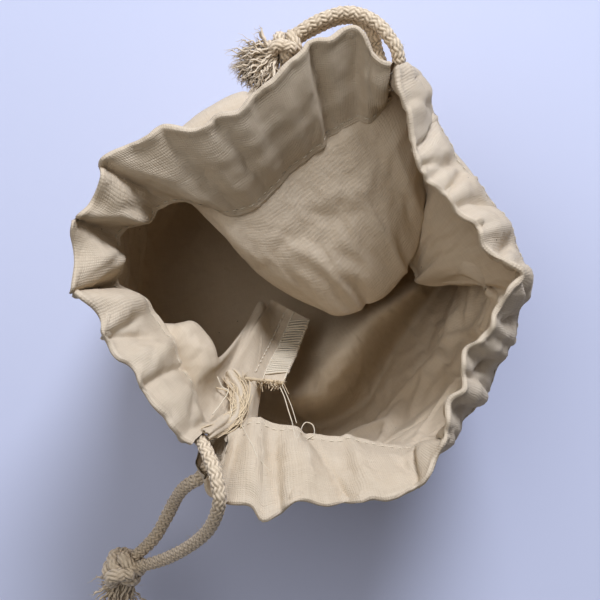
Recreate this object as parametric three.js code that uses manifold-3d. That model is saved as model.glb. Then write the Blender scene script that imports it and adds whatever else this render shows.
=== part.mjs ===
// Double-drawstring gift sack of unbleached calico, standing open.
// Units are millimetres and +Z is up. The origin is the centre of the underside of the base.
// +X points to side seam A, where cord A leaves its channel; -X is side seam B; +Y is the back wall.
import * as THREE from "three";
import { mergeVertices } from "three/addons/utils/BufferGeometryUtils.js";
import Module from "manifold-3d";

// ---- driving dimensions ---------------------------------------------------
const BASE_R = 50;            // radius of the flat that rests on the table
const LOWER_R = 62;           // outer radius of the lower wall
const CLOTH = 2.0;            // thickness the cloth solids are given
const LOWER_TOP = 53;         // top of the lower wall
const UPPER_R = 59.4;         // outer radius of the upper wall, which sinks inside the lower one
const UPPER_BOTTOM = 42.8;    // leaves room for the upper wall to sink 30 mm
const HEM_BOTTOM = 84;        // stitched edge of the channel
const HEM_TOP = 110;          // folded edge of the channel
const HEM_THICK = 8.0;        // across the channel with the cords in it
const HEM_WALL = 1.2;
const HEM_REF_R = 66;         // outer radius of the channel before it is leaned
const CORD_R = 2.5;           // braided cord, 5 mm across
const CORD_A_Z = 101.6;       // cord A runs in the upper half of the channel
const CORD_B_Z = 92.4;        // cord B runs in the lower half
const MID_HALF = 20;          // half width of the parts of the channel that draw together
const GAP = 0.4;              // clearance between neighbouring solids
const SEAM_OPEN = 3.2;        // half width of the gap in the channel at each side seam
const SEGMENTS = 60;

// outer radius of the channel's stitched edge and folded edge around the mouth, in degrees from +X
const HEM_TABLE = [
  [-180, 64, 72], [-165, 63, 71], [-150, 63, 70], [-135, 63, 71], [-120, 64, 66],
  [-105, 65, 57], [-90, 65, 53], [-75, 66, 53], [-60, 63, 50], [-45, 60, 48],
  [-30, 60, 49], [-15, 63, 54], [0, 65, 62], [15, 61, 63], [30, 55, 55],
  [45, 52, 52], [60, 55, 57], [75, 60, 63], [90, 60, 66], [105, 61, 69],
  [120, 60, 65], [135, 58, 61], [150, 58, 61], [165, 61, 66], [180, 64, 72],
];

// ---- materials ------------------------------------------------------------
const paint = (hex, roughness) =>
  new THREE.MeshStandardMaterial({ color: hex, roughness, metalness: 0 });
const CALICO = paint(0xcdbf9f, 0.92);
const HEM = paint(0xd2c5a8, 0.92);
const CORD = paint(0xcfc5b2, 0.85);
const THREAD = paint(0xe0d8c4, 0.8);
const FRAY = paint(0xd8cfba, 0.9);

const wasm = await Module();
wasm.setup();

// ---- helpers --------------------------------------------------------------
function clean(geometry) {
  let g = geometry.clone();
  for (const name of Object.keys(g.attributes)) if (name !== "position") g.deleteAttribute(name);
  g = mergeVertices(g, 1e-4);
  const index = g.index.array;
  const kept = [];
  for (let i = 0; i < index.length; i += 3) {
    const [a, b, c] = [index[i], index[i + 1], index[i + 2]];
    if (a !== b && b !== c && a !== c) kept.push(a, b, c);
  }
  const p = g.attributes.position;
  let volume = 0;
  const A = new THREE.Vector3(), B = new THREE.Vector3(), C = new THREE.Vector3();
  for (let i = 0; i < kept.length; i += 3) {
    A.fromBufferAttribute(p, kept[i]);
    B.fromBufferAttribute(p, kept[i + 1]);
    C.fromBufferAttribute(p, kept[i + 2]);
    volume += A.dot(B.clone().cross(C));
  }
  if (volume < 0)
    for (let i = 0; i < kept.length; i += 3) [kept[i + 1], kept[i + 2]] = [kept[i + 2], kept[i + 1]];
  g.setIndex(kept);
  return g;
}

function solid(geometry) {
  const g = clean(geometry);
  return new wasm.Manifold(
    new wasm.Mesh({
      numProp: 3,
      vertProperties: new Float32Array(g.attributes.position.array),
      triVerts: new Uint32Array(g.index.array),
    }),
  );
}

function shape(manifold) {
  const m = manifold.getMesh();
  const g = new THREE.BufferGeometry();
  const n = m.vertProperties.length / m.numProp;
  const p = new Float32Array(n * 3);
  for (let i = 0; i < n; i++)
    for (let k = 0; k < 3; k++) p[i * 3 + k] = m.vertProperties[i * m.numProp + k];
  g.setAttribute("position", new THREE.BufferAttribute(p, 3));
  g.setIndex(Array.from(m.triVerts));
  g.computeVertexNormals();
  return g;
}

// a profile of [radius, height] pairs turned about Z
function turned(profile, warp) {
  const points = profile.map(([r, z]) => new THREE.Vector2(r, z));
  const g = new THREE.LatheGeometry(points, SEGMENTS);
  g.rotateX(Math.PI / 2);
  if (warp) bend(g, warp);
  return solid(g);
}

// moves every point of a geometry with f(angle in degrees, radius, height) -> [radius, height]
function bend(g, f) {
  const p = g.attributes.position;
  for (let i = 0; i < p.count; i++) {
    const x = p.getX(i), y = p.getY(i), z = p.getZ(i);
    const r = Math.hypot(x, y);
    if (r < 1e-6) continue;
    const [nr, nz] = f((Math.atan2(y, x) * 180) / Math.PI, r, z);
    p.setXYZ(i, (x / r) * nr, (y / r) * nr, nz);
  }
}

function block(x0, x1, y0, y1, z0, z1) {
  const g = new THREE.BoxGeometry(x1 - x0, y1 - y0, z1 - z0);
  g.translate((x0 + x1) / 2, (y0 + y1) / 2, (z0 + z1) / 2);
  return g;
}
const cutter = (...b) => solid(block(...b));

const smooth = (t) => {
  const s = Math.min(1, Math.max(0, t));
  return s * s * (3 - 2 * s);
};

function hemRadii(deg) {
  let i = 0;
  while (i < HEM_TABLE.length - 2 && deg > HEM_TABLE[i + 1][0]) i++;
  const [a0, b0, t0] = HEM_TABLE[i];
  const [a1, b1, t1] = HEM_TABLE[i + 1];
  const s = smooth((deg - a0) / (a1 - a0));
  return [b0 + (b1 - b0) * s, t0 + (t1 - t0) * s];
}

// leans the channel in over the front wall and out over the back wall
function lean(deg, r, z) {
  const [bottom, top] = hemRadii(deg);
  const h = (z - HEM_BOTTOM) / (HEM_TOP - HEM_BOTTOM);
  return [r - HEM_REF_R + bottom + (top - bottom) * h, z];
}

// the back wall folds in below the channel
function inwardFold(deg, r, z) {
  const across = Math.exp(-(((deg - 74) / 30) ** 2));
  const up = Math.sin(Math.PI * smooth((z - 43) / 40));
  return [r - 27 * across * up, z];
}

// a round cord along a curve through the points
function rope(points, radius, steps) {
  const curve = new THREE.CatmullRomCurve3(points.map((p) => new THREE.Vector3(...p)));
  const section = new THREE.Shape();
  const sides = 8;
  for (let i = 0; i < sides; i++) {
    const a = (2 * Math.PI * (i + 0.5)) / sides;
    const [x, y] = [radius * Math.cos(a), radius * Math.sin(a)];
    i ? section.lineTo(x, y) : section.moveTo(x, y);
  }
  section.closePath();
  return new THREE.ExtrudeGeometry(section, { steps, bevelEnabled: false, extrudePath: curve });
}

const sack = new THREE.Group();
function add(name, geometry, material) {
  const mesh = new THREE.Mesh(geometry, material);
  mesh.name = name;
  sack.add(mesh);
  return mesh;
}

// ---- lower cloth: base and lower wall in one, since the cloth is folded under the base -------
const bowl = [
  [0, 0], [BASE_R, 0], [56.5, 1.8], [60.4, 6.0], [LOWER_R, 12], [LOWER_R, LOWER_TOP],
  [LOWER_R - CLOTH, LOWER_TOP], [LOWER_R - CLOTH, 12.4], [58.7, 7.2],
  [55.4, 3.6], [BASE_R - 0.4, CLOTH], [0, CLOTH],
];
add("body_cloth_lower", shape(turned(bowl)), CALICO);

// ---- upper walls, split at the side seams -------------------------------------------------
const wallRows = [UPPER_BOTTOM, 48, 54, 60, 67, 75, HEM_BOTTOM - GAP];
const wallProfile = [
  ...wallRows.map((z) => [UPPER_R, z]),
  ...wallRows.slice().reverse().map((z) => [UPPER_R - CLOTH, z]),
];
wallProfile.push(wallProfile[0]);
const upperWall = turned(wallProfile, inwardFold);
const far = 200;
add("front_wall_upper", shape(upperWall.intersect(cutter(-far, far, -far, -GAP / 2, 0, far))), CALICO);
add("back_wall_upper", shape(upperWall.intersect(cutter(-far, far, GAP / 2, far, 0, far))), CALICO);

// ---- channel: the top edge folded in and stitched down ---------------------------------------
const [hb, ht, ho, hi] = [HEM_BOTTOM, HEM_TOP, HEM_REF_R, HEM_REF_R - HEM_THICK];
const hemOuter = [[ho, hb], [ho, hb + 13], [ho, ht - 2], [ho - 2, ht], [hi + 2, ht], [hi, ht - 2], [hi, hb + 13], [hi, hb], [ho, hb]];
const w = HEM_WALL;
const hemHollow = [
  [ho - w, hb + 3], [ho - w, hb + 13], [ho - w, ht - 2 - w], [ho - w - 1, ht - w], [hi + w + 1, ht - w],
  [hi + w, ht - 2 - w], [hi + w, hb + 13], [hi + w, hb + 3], [ho - w, hb + 3],
];
const hem = turned(hemOuter, lean).subtract(turned(hemHollow, lean));
const stitchProfile = [[ho + 0.8, hb + 1.6], [ho + 1.6, hb + 1.6], [ho + 1.6, hb + 2.6], [ho + 0.8, hb + 2.6], [ho + 0.8, hb + 1.6]];
const stitch = turned(stitchProfile, lean);
const ring = (z) => {
  const out = [];
  for (let i = 0; i <= 8; i++) {
    const a = (2 * Math.PI * (i + 0.5)) / 8;
    out.push([HEM_REF_R - HEM_THICK / 2 + CORD_R * Math.cos(a), z + CORD_R * Math.sin(a)]);
  }
  out[8] = out[0].slice();
  return out;
};
const cordA = turned(ring(CORD_A_Z), lean);
const cordB = turned(ring(CORD_B_Z), lean);

const MID = MID_HALF, OUT = MID_HALF + GAP;
const frontMid = cutter(-MID, MID, -far, -5, 0, far);
const backMid = cutter(-MID, MID, 5, far, 0, far);
const sideA = [OUT, far], sideB = [-far, -OUT];
const part = (whole, [x0, x1], y0, y1) => shape(whole.intersect(cutter(x0, x1, y0, y1, 0, far)));

add("front_channel", shape(hem.intersect(frontMid)), HEM);
add("back_channel", shape(hem.intersect(backMid)), HEM);
add("front_channel_end_a", part(hem, sideA, -far, -SEAM_OPEN), HEM);
add("back_channel_end_a", part(hem, sideA, SEAM_OPEN, far), HEM);
add("front_channel_end_b", part(hem, sideB, -far, -SEAM_OPEN), HEM);
add("back_channel_end_b", part(hem, sideB, SEAM_OPEN, far), HEM);

add("front_channel_stitching", shape(stitch.intersect(frontMid)), THREAD);
add("back_channel_stitching", shape(stitch.intersect(backMid)), THREAD);
add("front_stitching_end_a", part(stitch, sideA, -far, -SEAM_OPEN), THREAD);
add("back_stitching_end_a", part(stitch, sideA, SEAM_OPEN, far), THREAD);
add("front_stitching_end_b", part(stitch, sideB, -far, -SEAM_OPEN), THREAD);
add("back_stitching_end_b", part(stitch, sideB, SEAM_OPEN, far), THREAD);

// ---- cords inside the channel -----------------------------------------------------------------
// Cord A goes once round the mouth and leaves at seam A; cord B does the same from seam B.
add("cord_a_front_run", shape(cordA.intersect(frontMid)), CORD);
add("cord_a_back_run", shape(cordA.intersect(backMid)), CORD);
add("cord_a_front_run_end", part(cordA, sideA, -far, -SEAM_OPEN), CORD);
add("cord_a_back_run_end", part(cordA, sideA, SEAM_OPEN, far), CORD);
add("cord_a_turn_at_seam_b", part(cordA, sideB, -far, far), CORD);
add("cord_b_front_run", shape(cordB.intersect(frontMid)), CORD);
add("cord_b_back_run", shape(cordB.intersect(backMid)), CORD);
add("cord_b_front_run_end", part(cordB, sideB, -far, -SEAM_OPEN), CORD);
add("cord_b_back_run_end", part(cordB, sideB, SEAM_OPEN, far), CORD);
add("cord_b_turn_at_seam_a", part(cordB, sideA, -far, far), CORD);

// ---- seam allowances: raw edges of the side seams, inside, with their overlock thread --------------
add("seam_allowance_a_upper", block(46, 56.6, -6.4, -4.8, 44, 82), CALICO);
add("seam_allowance_b_upper", block(-56.6, -45, 4.8, 6.4, 44, 82), CALICO);
add("overlock_a_upper", block(43.6, 45.6, -6.8, -4.4, 44, 82), THREAD);
add("overlock_b_upper", block(-44.6, -42.4, 4.4, 6.8, 44, 82), THREAD);
add("seam_allowance_a_lower", block(46, 56.6, -0.8, 0.8, 13, LOWER_TOP), CALICO);
add("seam_allowance_b_lower", block(-56.6, -46, -0.8, 0.8, 13, LOWER_TOP), CALICO);
add("overlock_a_lower", block(43.6, 45.6, -1.2, 1.2, 13, LOWER_TOP), THREAD);
add("overlock_b_lower", block(-45.6, -43.6, -1.2, 1.2, 13, LOWER_TOP), THREAD);

// ---- cord A outside: two strands, the overhand knot that joins them and the frayed ends -----------
const A_KNOT = [56.5, 36.5, 98];
add("cord_a_strand_front", rope([[70.6, 0.8, 101.4], [74.6, 5.2, 102], [77.2, 12, 101.4], [76, 21, 100.8], [70.4, 29, 100.2], [63.9, 33.2, 99.8]], CORD_R, 18), CORD);
add("cord_a_strand_back", rope([[70.2, 3.2, 94.6], [72.0, 9, 94.4], [72.6, 15, 94.2], [70, 23, 94.0], [65.4, 28.6, 94.2], [62.6, 31.2, 94.2]], CORD_R, 16), CORD);
{
  const g = new THREE.SphereGeometry(1, 14, 10);
  g.scale(7.4, 6.0, 6.4);
  g.rotateZ((118 * Math.PI) / 180);
  g.translate(...A_KNOT);
  // the strands end against the knot
  const trim = (name) => {
    const mesh = sack.children.find((m) => m.name === name);
    const grown = new THREE.SphereGeometry(1, 14, 10);
    grown.scale(7.4 + GAP, 6.0 + GAP, 6.4 + GAP);
    grown.rotateZ((118 * Math.PI) / 180);
    grown.translate(...A_KNOT);
    mesh.geometry = shape(solid(mesh.geometry).subtract(solid(grown)));
  };
  trim("cord_a_strand_front");
  trim("cord_a_strand_back");
  add("cord_a_knot", shape(solid(g)), CORD);
}
{
  // frayed ends fan out behind the knot
  const g = new THREE.CylinderGeometry(7.0, 3.6, 12, 14, 1);
  g.scale(1, 1, 0.55);
  g.rotateZ(Math.PI / 2);
  g.rotateZ((-30 * Math.PI) / 180);
  g.translate(45.4, 42.6, 98);
  const knot = new THREE.SphereGeometry(1, 14, 10);
  knot.scale(7.4 + GAP, 6.0 + GAP, 6.4 + GAP);
  knot.rotateZ((118 * Math.PI) / 180);
  knot.translate(...A_KNOT);
  add("cord_a_frayed_ends", shape(solid(g).subtract(solid(knot))), FRAY);
}

// ---- cord B outside: hangs out and down from seam B -------------------------------------------
const B_KNOT = [-113.5, 12, 49];
add("cord_b_strand_front", rope([[-75, -2.2, 89.8], [-79, -5.6, 86.6], [-85, -8, 80.6], [-92, -8, 72], [-100, -3, 62], [-107, 4.6, 54.5]], CORD_R, 18), CORD);
add("cord_b_strand_back", rope([[-74.6, 4.6, 90.4], [-79, 7.2, 86.4], [-84.4, 8.4, 80], [-91, 9.2, 72], [-97.6, 10.8, 64.6], [-105, 12.6, 57]], CORD_R, 18), CORD);
{
  const make = (grow) => {
    const g = new THREE.SphereGeometry(1, 14, 10);
    g.scale(8.2 + grow, 7.2 + grow, 6.6 + grow);
    g.rotateY((35 * Math.PI) / 180);
    g.translate(...B_KNOT);
    return g;
  };
  for (const name of ["cord_b_strand_front", "cord_b_strand_back"]) {
    const mesh = sack.children.find((m) => m.name === name);
    mesh.geometry = shape(solid(mesh.geometry).subtract(solid(make(GAP))));
  }
  add("cord_b_knot", shape(solid(make(0))), CORD);
}
{
  const ends = rope([[-121.4, 11.4, 43.4], [-126, 9.6, 40], [-130.6, 7, 37], [-134.6, 3.6, 34.6]], 3.4, 8);
  const knot = new THREE.SphereGeometry(1, 14, 10);
  knot.scale(8.2 + GAP, 7.2 + GAP, 6.6 + GAP);
  knot.rotateY((35 * Math.PI) / 180);
  knot.translate(...B_KNOT);
  add("cord_b_frayed_ends", shape(solid(ends).subtract(solid(knot))), FRAY);
}

export default sack;
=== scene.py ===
"""Fabric gift sack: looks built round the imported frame. Lengths in the tables are millimetres."""
import bpy
import math
import numpy as np
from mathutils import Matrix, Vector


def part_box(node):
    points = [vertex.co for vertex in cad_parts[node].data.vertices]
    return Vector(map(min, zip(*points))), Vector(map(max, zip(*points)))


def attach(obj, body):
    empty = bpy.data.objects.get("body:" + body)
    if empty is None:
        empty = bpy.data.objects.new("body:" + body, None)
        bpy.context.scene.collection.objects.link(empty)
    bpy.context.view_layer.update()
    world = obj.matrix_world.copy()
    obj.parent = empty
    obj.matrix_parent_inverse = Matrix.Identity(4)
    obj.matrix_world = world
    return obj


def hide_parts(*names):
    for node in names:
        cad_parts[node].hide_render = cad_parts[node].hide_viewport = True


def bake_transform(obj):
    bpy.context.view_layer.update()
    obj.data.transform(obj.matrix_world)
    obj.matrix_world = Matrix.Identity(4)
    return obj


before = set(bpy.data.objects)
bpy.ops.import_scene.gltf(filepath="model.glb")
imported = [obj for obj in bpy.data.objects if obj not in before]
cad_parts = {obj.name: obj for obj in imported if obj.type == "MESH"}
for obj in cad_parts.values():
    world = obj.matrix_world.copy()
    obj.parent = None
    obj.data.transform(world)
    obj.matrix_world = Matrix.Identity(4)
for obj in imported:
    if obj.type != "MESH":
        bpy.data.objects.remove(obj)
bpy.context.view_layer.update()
MM = 0.001


def boxmm(node):
    lo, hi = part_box(node)
    return np.array(lo) * 1000.0, np.array(hi) * 1000.0


def centre_mm(node):
    lo, hi = boxmm(node)
    return (lo + hi) / 2


BASE_LO, BASE_HI = boxmm("body_cloth_lower")
HEM_LO, HEM_HI = boxmm("back_channel")
WALL_R = (BASE_HI[0] - BASE_LO[0]) / 2 - 1.2       # centre of the cloth in the lower wall
HEM_Z0, HEM_Z1 = HEM_LO[2], HEM_HI[2]              # stitched edge and folded edge of the channel
SPLIT_Z = 60.0                                     # the cloth is one sheet; pieces meet at this height
THICK = 0.56                                       # calico

# ----------------------------------------------------------------------------------------------
# small numeric helpers
# ----------------------------------------------------------------------------------------------


def smooth(t):
    t = np.clip(t, 0, 1)
    return t * t * (3 - 2 * t)


def periodic(angles, values, x):
    """Cubic through (angle in degrees, value) pairs round a full turn."""
    a = np.array(angles, float)
    v = np.array(values, float)
    if v.ndim == 1:
        v = v[:, None]
    o = np.argsort(a)
    a, v = a[o], v[o]
    a = np.concatenate([a[-3:] - 360, a, a[:3] + 360])
    v = np.concatenate([v[-3:], v, v[:3]])
    d = np.diff(v, axis=0) / np.diff(a)[:, None]
    h = np.diff(a)
    m = np.zeros_like(v)
    m[1:-1] = (d[:-1] * h[1:, None] + d[1:] * h[:-1, None]) / (h[1:] + h[:-1])[:, None]
    x = (np.array(x, float) + 180) % 360 - 180
    i = np.clip(np.searchsorted(a, x, side="right") - 1, 1, len(a) - 3)
    t = ((x - a[i]) / (a[i + 1] - a[i]))[:, None]
    hh = (a[i + 1] - a[i])[:, None]
    out = (
        (2 * t**3 - 3 * t**2 + 1) * v[i]
        + (t**3 - 2 * t**2 + t) * hh * m[i]
        + (-2 * t**3 + 3 * t**2) * v[i + 1]
        + (t**3 - t**2) * hh * m[i + 1]
    )
    return out[:, 0] if out.shape[1] == 1 else out


def catmull(points, count, weights=None):
    """points (k, n, 3): n columns, k controls down each. Returns (count, n, 3) evenly spaced by arc length."""
    k = len(points)
    fine = 12
    out = []
    for s in range(k - 1):
        p0 = points[max(s - 1, 0)]
        p1, p2 = points[s], points[s + 1]
        p3 = points[min(s + 2, k - 1)]
        for j in range(fine):
            t = j / fine
            out.append(
                0.5
                * (
                    2 * p1
                    + (p2 - p0) * t
                    + (2 * p0 - 5 * p1 + 4 * p2 - p3) * t * t
                    + (3 * p1 - p0 - 3 * p2 + p3) * t**3
                )
            )
    out.append(points[-1])
    out = np.array(out)
    seg = np.linalg.norm(np.diff(out, axis=0), axis=2)
    s = np.concatenate([np.zeros((1, out.shape[1])), np.cumsum(seg, axis=0)])
    res = np.zeros((count, out.shape[1], 3))
    for c in range(out.shape[1]):
        want = np.linspace(0, s[-1, c], count)
        for a in range(3):
            res[:, c, a] = np.interp(want, s[:, c], out[:, c, a])
    return res


def polar(theta, r, z):
    t = np.radians(theta)
    return np.stack([r * np.cos(t), r * np.sin(t), z], axis=-1)


def noise2(x, y, seed, px=None):
    """Smooth value noise; x repeats after px cells."""
    rng = np.random.default_rng(seed)
    n = 64
    g = rng.random((n, n)) * 2 - 1
    xi, yi = np.floor(x).astype(int), np.floor(y).astype(int)
    fx, fy = smooth(x - xi), smooth(y - yi)
    w = (lambda q: q % px) if px else (lambda q: q % n)
    a = g[w(xi) % n, yi % n]
    b = g[w(xi + 1) % n, yi % n]
    c = g[w(xi) % n, (yi + 1) % n]
    d = g[w(xi + 1) % n, (yi + 1) % n]
    return (a * (1 - fx) + b * fx) * (1 - fy) + (c * (1 - fx) + d * fx) * fy


# ----------------------------------------------------------------------------------------------
# the cloth: one sheet from the turned-in hem, over the fold, down the wall and across the base
# ----------------------------------------------------------------------------------------------
NU = 480
PHI = -180 + 360 * np.arange(NU) / NU

# radius of the folded edge round the mouth
FOLD = [
    (-178, 70.5), (-173, 71.2), (-170, 70.6), (-167, 70.6), (-164, 73.0), (-161, 70.4), (-157, 67.0), (-151, 67.8),
    (-144, 67.6), (-136, 69.3), (-130, 69.9), (-124, 69.4), (-119, 66.5), (-115, 63.3), (-110, 59.4), (-106, 57.2),
    (-101, 57.0), (-95, 53.6), (-91, 52.6), (-85, 54.4), (-81, 56.0), (-77, 56.6), (-73, 58.0), (-68, 59.4),
    (-64, 62.4), (-61, 58.5), (-56, 53.2), (-49, 51.0), (-43, 48.2), (-36, 46.4), (-28, 44.8), (-20, 45.0),
    (-12, 50.0), (-7, 54.0), (-3, 57.0), (0, 60.0), (3, 64.6), (6.5, 63.8), (10.5, 65.2), (13.5, 68.6), (15.8, 70.0), (18, 68.8), (20.5, 66.2), (24, 64.8), (29, 61.6),
    (36, 55.8), (43, 52.4), (50, 49.6), (57, 50.6), (63, 50.6), (68, 53.4), (72, 57.6), (77, 59.4), (83, 63.8),
    (88, 66.4), (93, 65.6), (98, 67.2), (103, 67.4), (109, 69.8), (115, 69.4), (121, 67.6), (127, 63.8),
    (133, 61.6), (140, 60.6), (147, 58.2), (154, 58.9), (163, 59.6), (169, 60.6), (175, 61.8), (179, 66.0),
]
# folded edge height, and the stitched line: angle, radius, height
RIM = [  # phi, fold z, stitch theta, stitch r, stitch z
    (-180, 103.0, -183, 55.0, 89.0), (-174, 104.5, -178, 51.5, 88.5), (-165, 108.5, -171, 48.5, 88.5), (-150, 108.0, -154, 50.0, 89.0),
    (-135, 108.5, -137, 54.0, 88.0), (-120, 108.0, -120, 64.5, 84.6), (-105, 107.0, -105, 66.5, 83.6),
    (-90, 106.0, -90, 65.8, 83.2), (-75, 107.0, -75, 66.6, 83.4), (-60, 107.0, -60, 66.0, 83.6),
    (-45, 106.0, -45, 61.6, 84.0), (-30, 105.0, -30, 57.4, 84.4), (-15, 106.0, -13, 61.5, 84.6),
    (-8, 106.0, -7.6, 66.0, 85.2), (-2, 106.8, -2.4, 69.0, 86.8), (2.2, 107.6, 0.2, 67.0, 88.5), (6, 108.5, 2.2, 55.0, 89.0), (15, 111.5, 9, 48.0, 89.0), (30, 113.0, 22, 38.5, 87.0), (45, 113.0, 38, 31.5, 85.5),
    (60, 113.0, 57, 26.8, 85.0), (72, 112.5, 73, 27.5, 85.0), (81, 111.5, 80, 31.5, 86.0), (88, 110.5, 86, 43.0, 86.5),
    (97, 108.5, 98, 53.5, 86.5), (107, 108.5, 107, 59.0, 85.0),
    (120, 108.5, 119, 58.0, 84.8), (135, 108.0, 134, 48.0, 89.0), (148, 108.0, 147, 47.0, 91.5),
    (162, 107.5, 161, 49.8, 91.5), (172, 104.5, 172, 55.5, 90.5),
]
# how the wall folds in under the mouth: phi -> innermost point of the fold (x, y, z) and how far the column folds
LOBE = [
    (-180, -14.5, 7.4, 41.0, 1.0), (-176.5, -18.0, 2.0, 40.0, 0.85), (-171.5, -30.0, -6.0, 52.0, 0.3), (-166, -40.0, -14.0, 62.0, 0.0), (-150, -44.0, -22.0, 72.0, 0.0),
    (-78, 22.0, -58.0, 70.0, 0.0), (-72, 23.0, -57.5, 68.0, 0.0), (-67, 21.0, -51.0, 57.0, 0.7), (-62, 16.5, -41.0, 49.0, 1.0), (-55, 13.0, -35.0, 47.0, 1.0),
    (-40, 15.0, -31.0, 46.0, 1.0), (-20, 22.0, -27.0, 46.0, 1.0), (-9, 33.0, -30.0, 45.0, 1.0), (-3, 38.0, -29.5, 46.0, 1.0),
    (4, 36.0, -25.5, 62.0, 1.0), (15, 24.0, -29.0, 58.0, 1.0), (30, 11.0, -29.0, 56.0, 1.0), (45, 0.0, -24.5, 54.5, 1.0),
    (58, -8.5, -15.0, 55.0, 1.0), (67, -9.2, -1.0, 59.0, 1.0), (73, -8.0, 11.0, 65.0, 1.0), (78, -5.2, 21.0, 72.0, 1.0),
    (81.5, -3.0, 27.0, 74.0, 1.0), (85, -1.5, 31.0, 76.0, 0.25), (88, -2.0, 36.0, 76.0, 0.0), (92, -6.0, 40.0, 75.0, 0.0),
    (97, -8.0, 42.0, 75.0, 0.0), (110, -18.0, 50.0, 75.0, 0.0),
    (134, -34.0, 34.0, 80.0, 0.0), (142, -27.5, 27.0, 82.0, 0.6), (149, -29.5, 23.5, 84.0, 1.0), (157, -33.5, 16.0, 84.5, 1.0), (163, -37.0, 12.5, 82.0, 1.0), (169, -26.0, 10.0, 55.0, 1.0),
]
EDGE = [  # where the base turns up into the wall
    (-180, 50), (-150, 52), (-130, 50), (-112, 44.0), (-95, 42.5), (-78, 44.5), (-62, 51), (-40, 53), (0, 52), (40, 52), (90, 52), (140, 52),
]

rF = periodic([a for a, _ in FOLD], [r for _, r in FOLD], PHI)
rim = periodic([r[0] for r in RIM], [[r[1], r[2] - r[0], r[3], r[4]] for r in RIM], PHI)
zF, dS, rS, zS = rim.T
zF = zF + (HEM_Z1 - 110.0)
zS = zS + (HEM_Z0 - 84.0)
F = polar(PHI, rF, zF)
S = polar(PHI + dS, rS, zS)
lobe = periodic([r[0] for r in LOBE], [list(r[1:]) for r in LOBE], PHI)
tip, amount = lobe[:, :3], np.clip(lobe[:, 3], 0, 1)
edge = periodic([a for a, _ in EDGE], [r for _, r in EDGE], PHI)

# pleats where the cords gather the mouth: strength round the turn and crowding
PLEAT = [(-180, 0.5), (-165, 0.8), (-140, 0.8), (-118, 0.7), (-90, 0.55), (-60, 0.6), (-30, 0.5), (-8, 0.35), (5, 0.3), (18, 0.5),
         (30, 0.3), (50, 0.2), (66, 0.25), (78, 0.6), (92, 1.5), (104, 2.1), (122, 1.9), (134, 1.0), (145, 0.7), (165, 0.5)]
# narrow gathers of the channel where the cloth is pushed together on the cords
GATHER = [(-180, 0.7), (-150, 0.6), (-118, 0.9), (-90, 1.1), (-60, 1.1), (-30, 1.1), (-10, 0.9), (3, 0.3), (14, 0.8),
          (30, 0.25), (50, 0.15), (66, 0.2), (78, 0.35), (95, 0.8), (115, 0.9), (130, 0.8), (150, 0.7), (165, 0.6)]
pleat = periodic([a for a, _ in PLEAT], [r for _, r in PLEAT], PHI)
rng = np.random.default_rng(7)
arc = np.concatenate([[0], np.cumsum(np.linalg.norm(np.diff(F, axis=0), axis=1))])
total = arc[-1] + np.linalg.norm(F[0] - F[-1])
count = 46
knots = np.sort((np.arange(count) + rng.uniform(-0.28, 0.28, count)) * 360 / count - 180)
phase = np.interp(PHI, np.concatenate([[knots[-1] - 360], knots, [knots[0] + 360]]), np.arange(-1, count + 1)) * np.pi
height = periodic(knots, rng.uniform(0.55, 1.25, count), PHI)
wave = np.sin(phase) * height * pleat           # 23 pleats of uneven width
wave2 = np.sin(phase * 2.0 + 1.3 + 0.8 * np.sin(phase * 0.5)) * pleat

# ---- wall: from the split height up (or in and back) to the stitched line ----------------------
out0 = polar(PHI, np.full(NU, WALL_R - 0.6), np.full(NU, SPLIT_Z))
wallu = polar(PHI, np.full(NU, 1.0), np.zeros(NU))


def mix(a, b, t):
    t = np.asarray(t)
    return a + (b - a) * (t[:, None] if t.ndim else t)


up = np.array([0, 0, 1.0])
straight = [
    wallu * (WALL_R - 0.6) + up * 66.0,
    wallu * (WALL_R - 0.6 - 0.4) + up * 71.0,
    mix(wallu * (WALL_R - 1) + up * 75.5, S + up * (75.5 - zS)[:, None], 0.25),
    mix(wallu * (WALL_R - 1) + up * 79.0, S + up * (79.0 - zS)[:, None], 0.6),
    mix(wallu * (WALL_R - 1) + up * 83.0, S + up * (-3.6), 0.9),
]
lip = polar(PHI, np.full(NU, WALL_R - 1.4), np.full(NU, 71.0))
back_of_lip = polar(PHI, np.full(NU, WALL_R - 11.0), np.full(NU, 72.5))
under = mix(back_of_lip, tip, 0.55) - up * 2.0
top_mid = mix(S, tip, 0.52) + up * 5.5
near_tip = mix(S, tip, 0.90) + up * 3.4
folded = [lip, back_of_lip, under, tip, mix(top_mid, near_tip, 0.35)]
K = [out0] + [mix(s, f, amount) for s, f in zip(straight, folded)] + [S]
# the last wall control leads smoothly into the stitched line
NW = 92
upper = catmull(np.array(K), NW)

# ---- below the split: down the wall and across the base -------------------------------------------
LEAN = [(-180, 0.0), (-150, 0.0), (-132, 0.35), (-115, 0.9), (-95, 1.0), (-70, 1.0), (-58, 0.6), (-45, 0.15), (-30, 0.0), (60, 0.0), (120, 0.0)]
lean = np.clip(periodic([a for a, _ in LEAN], [r for _, r in LEAN], PHI), 0, 1)


def wall_at(z):
    """Centre of the wall cloth at a height: straight, or sloping in to the base where the wall leans."""
    straight_r = np.interp(z, [12, 28, 45, 60], [WALL_R - 2.0, WALL_R - 0.2, WALL_R - 0.1, WALL_R - 0.6]) + 0 * edge
    sloped_r = edge + 2.5 + (WALL_R - 0.6 - edge - 2.5) * (z / 60.0) ** 0.85
    return wallu * (straight_r * (1 - lean) + sloped_r * lean)[:, None] + up * z


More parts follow.
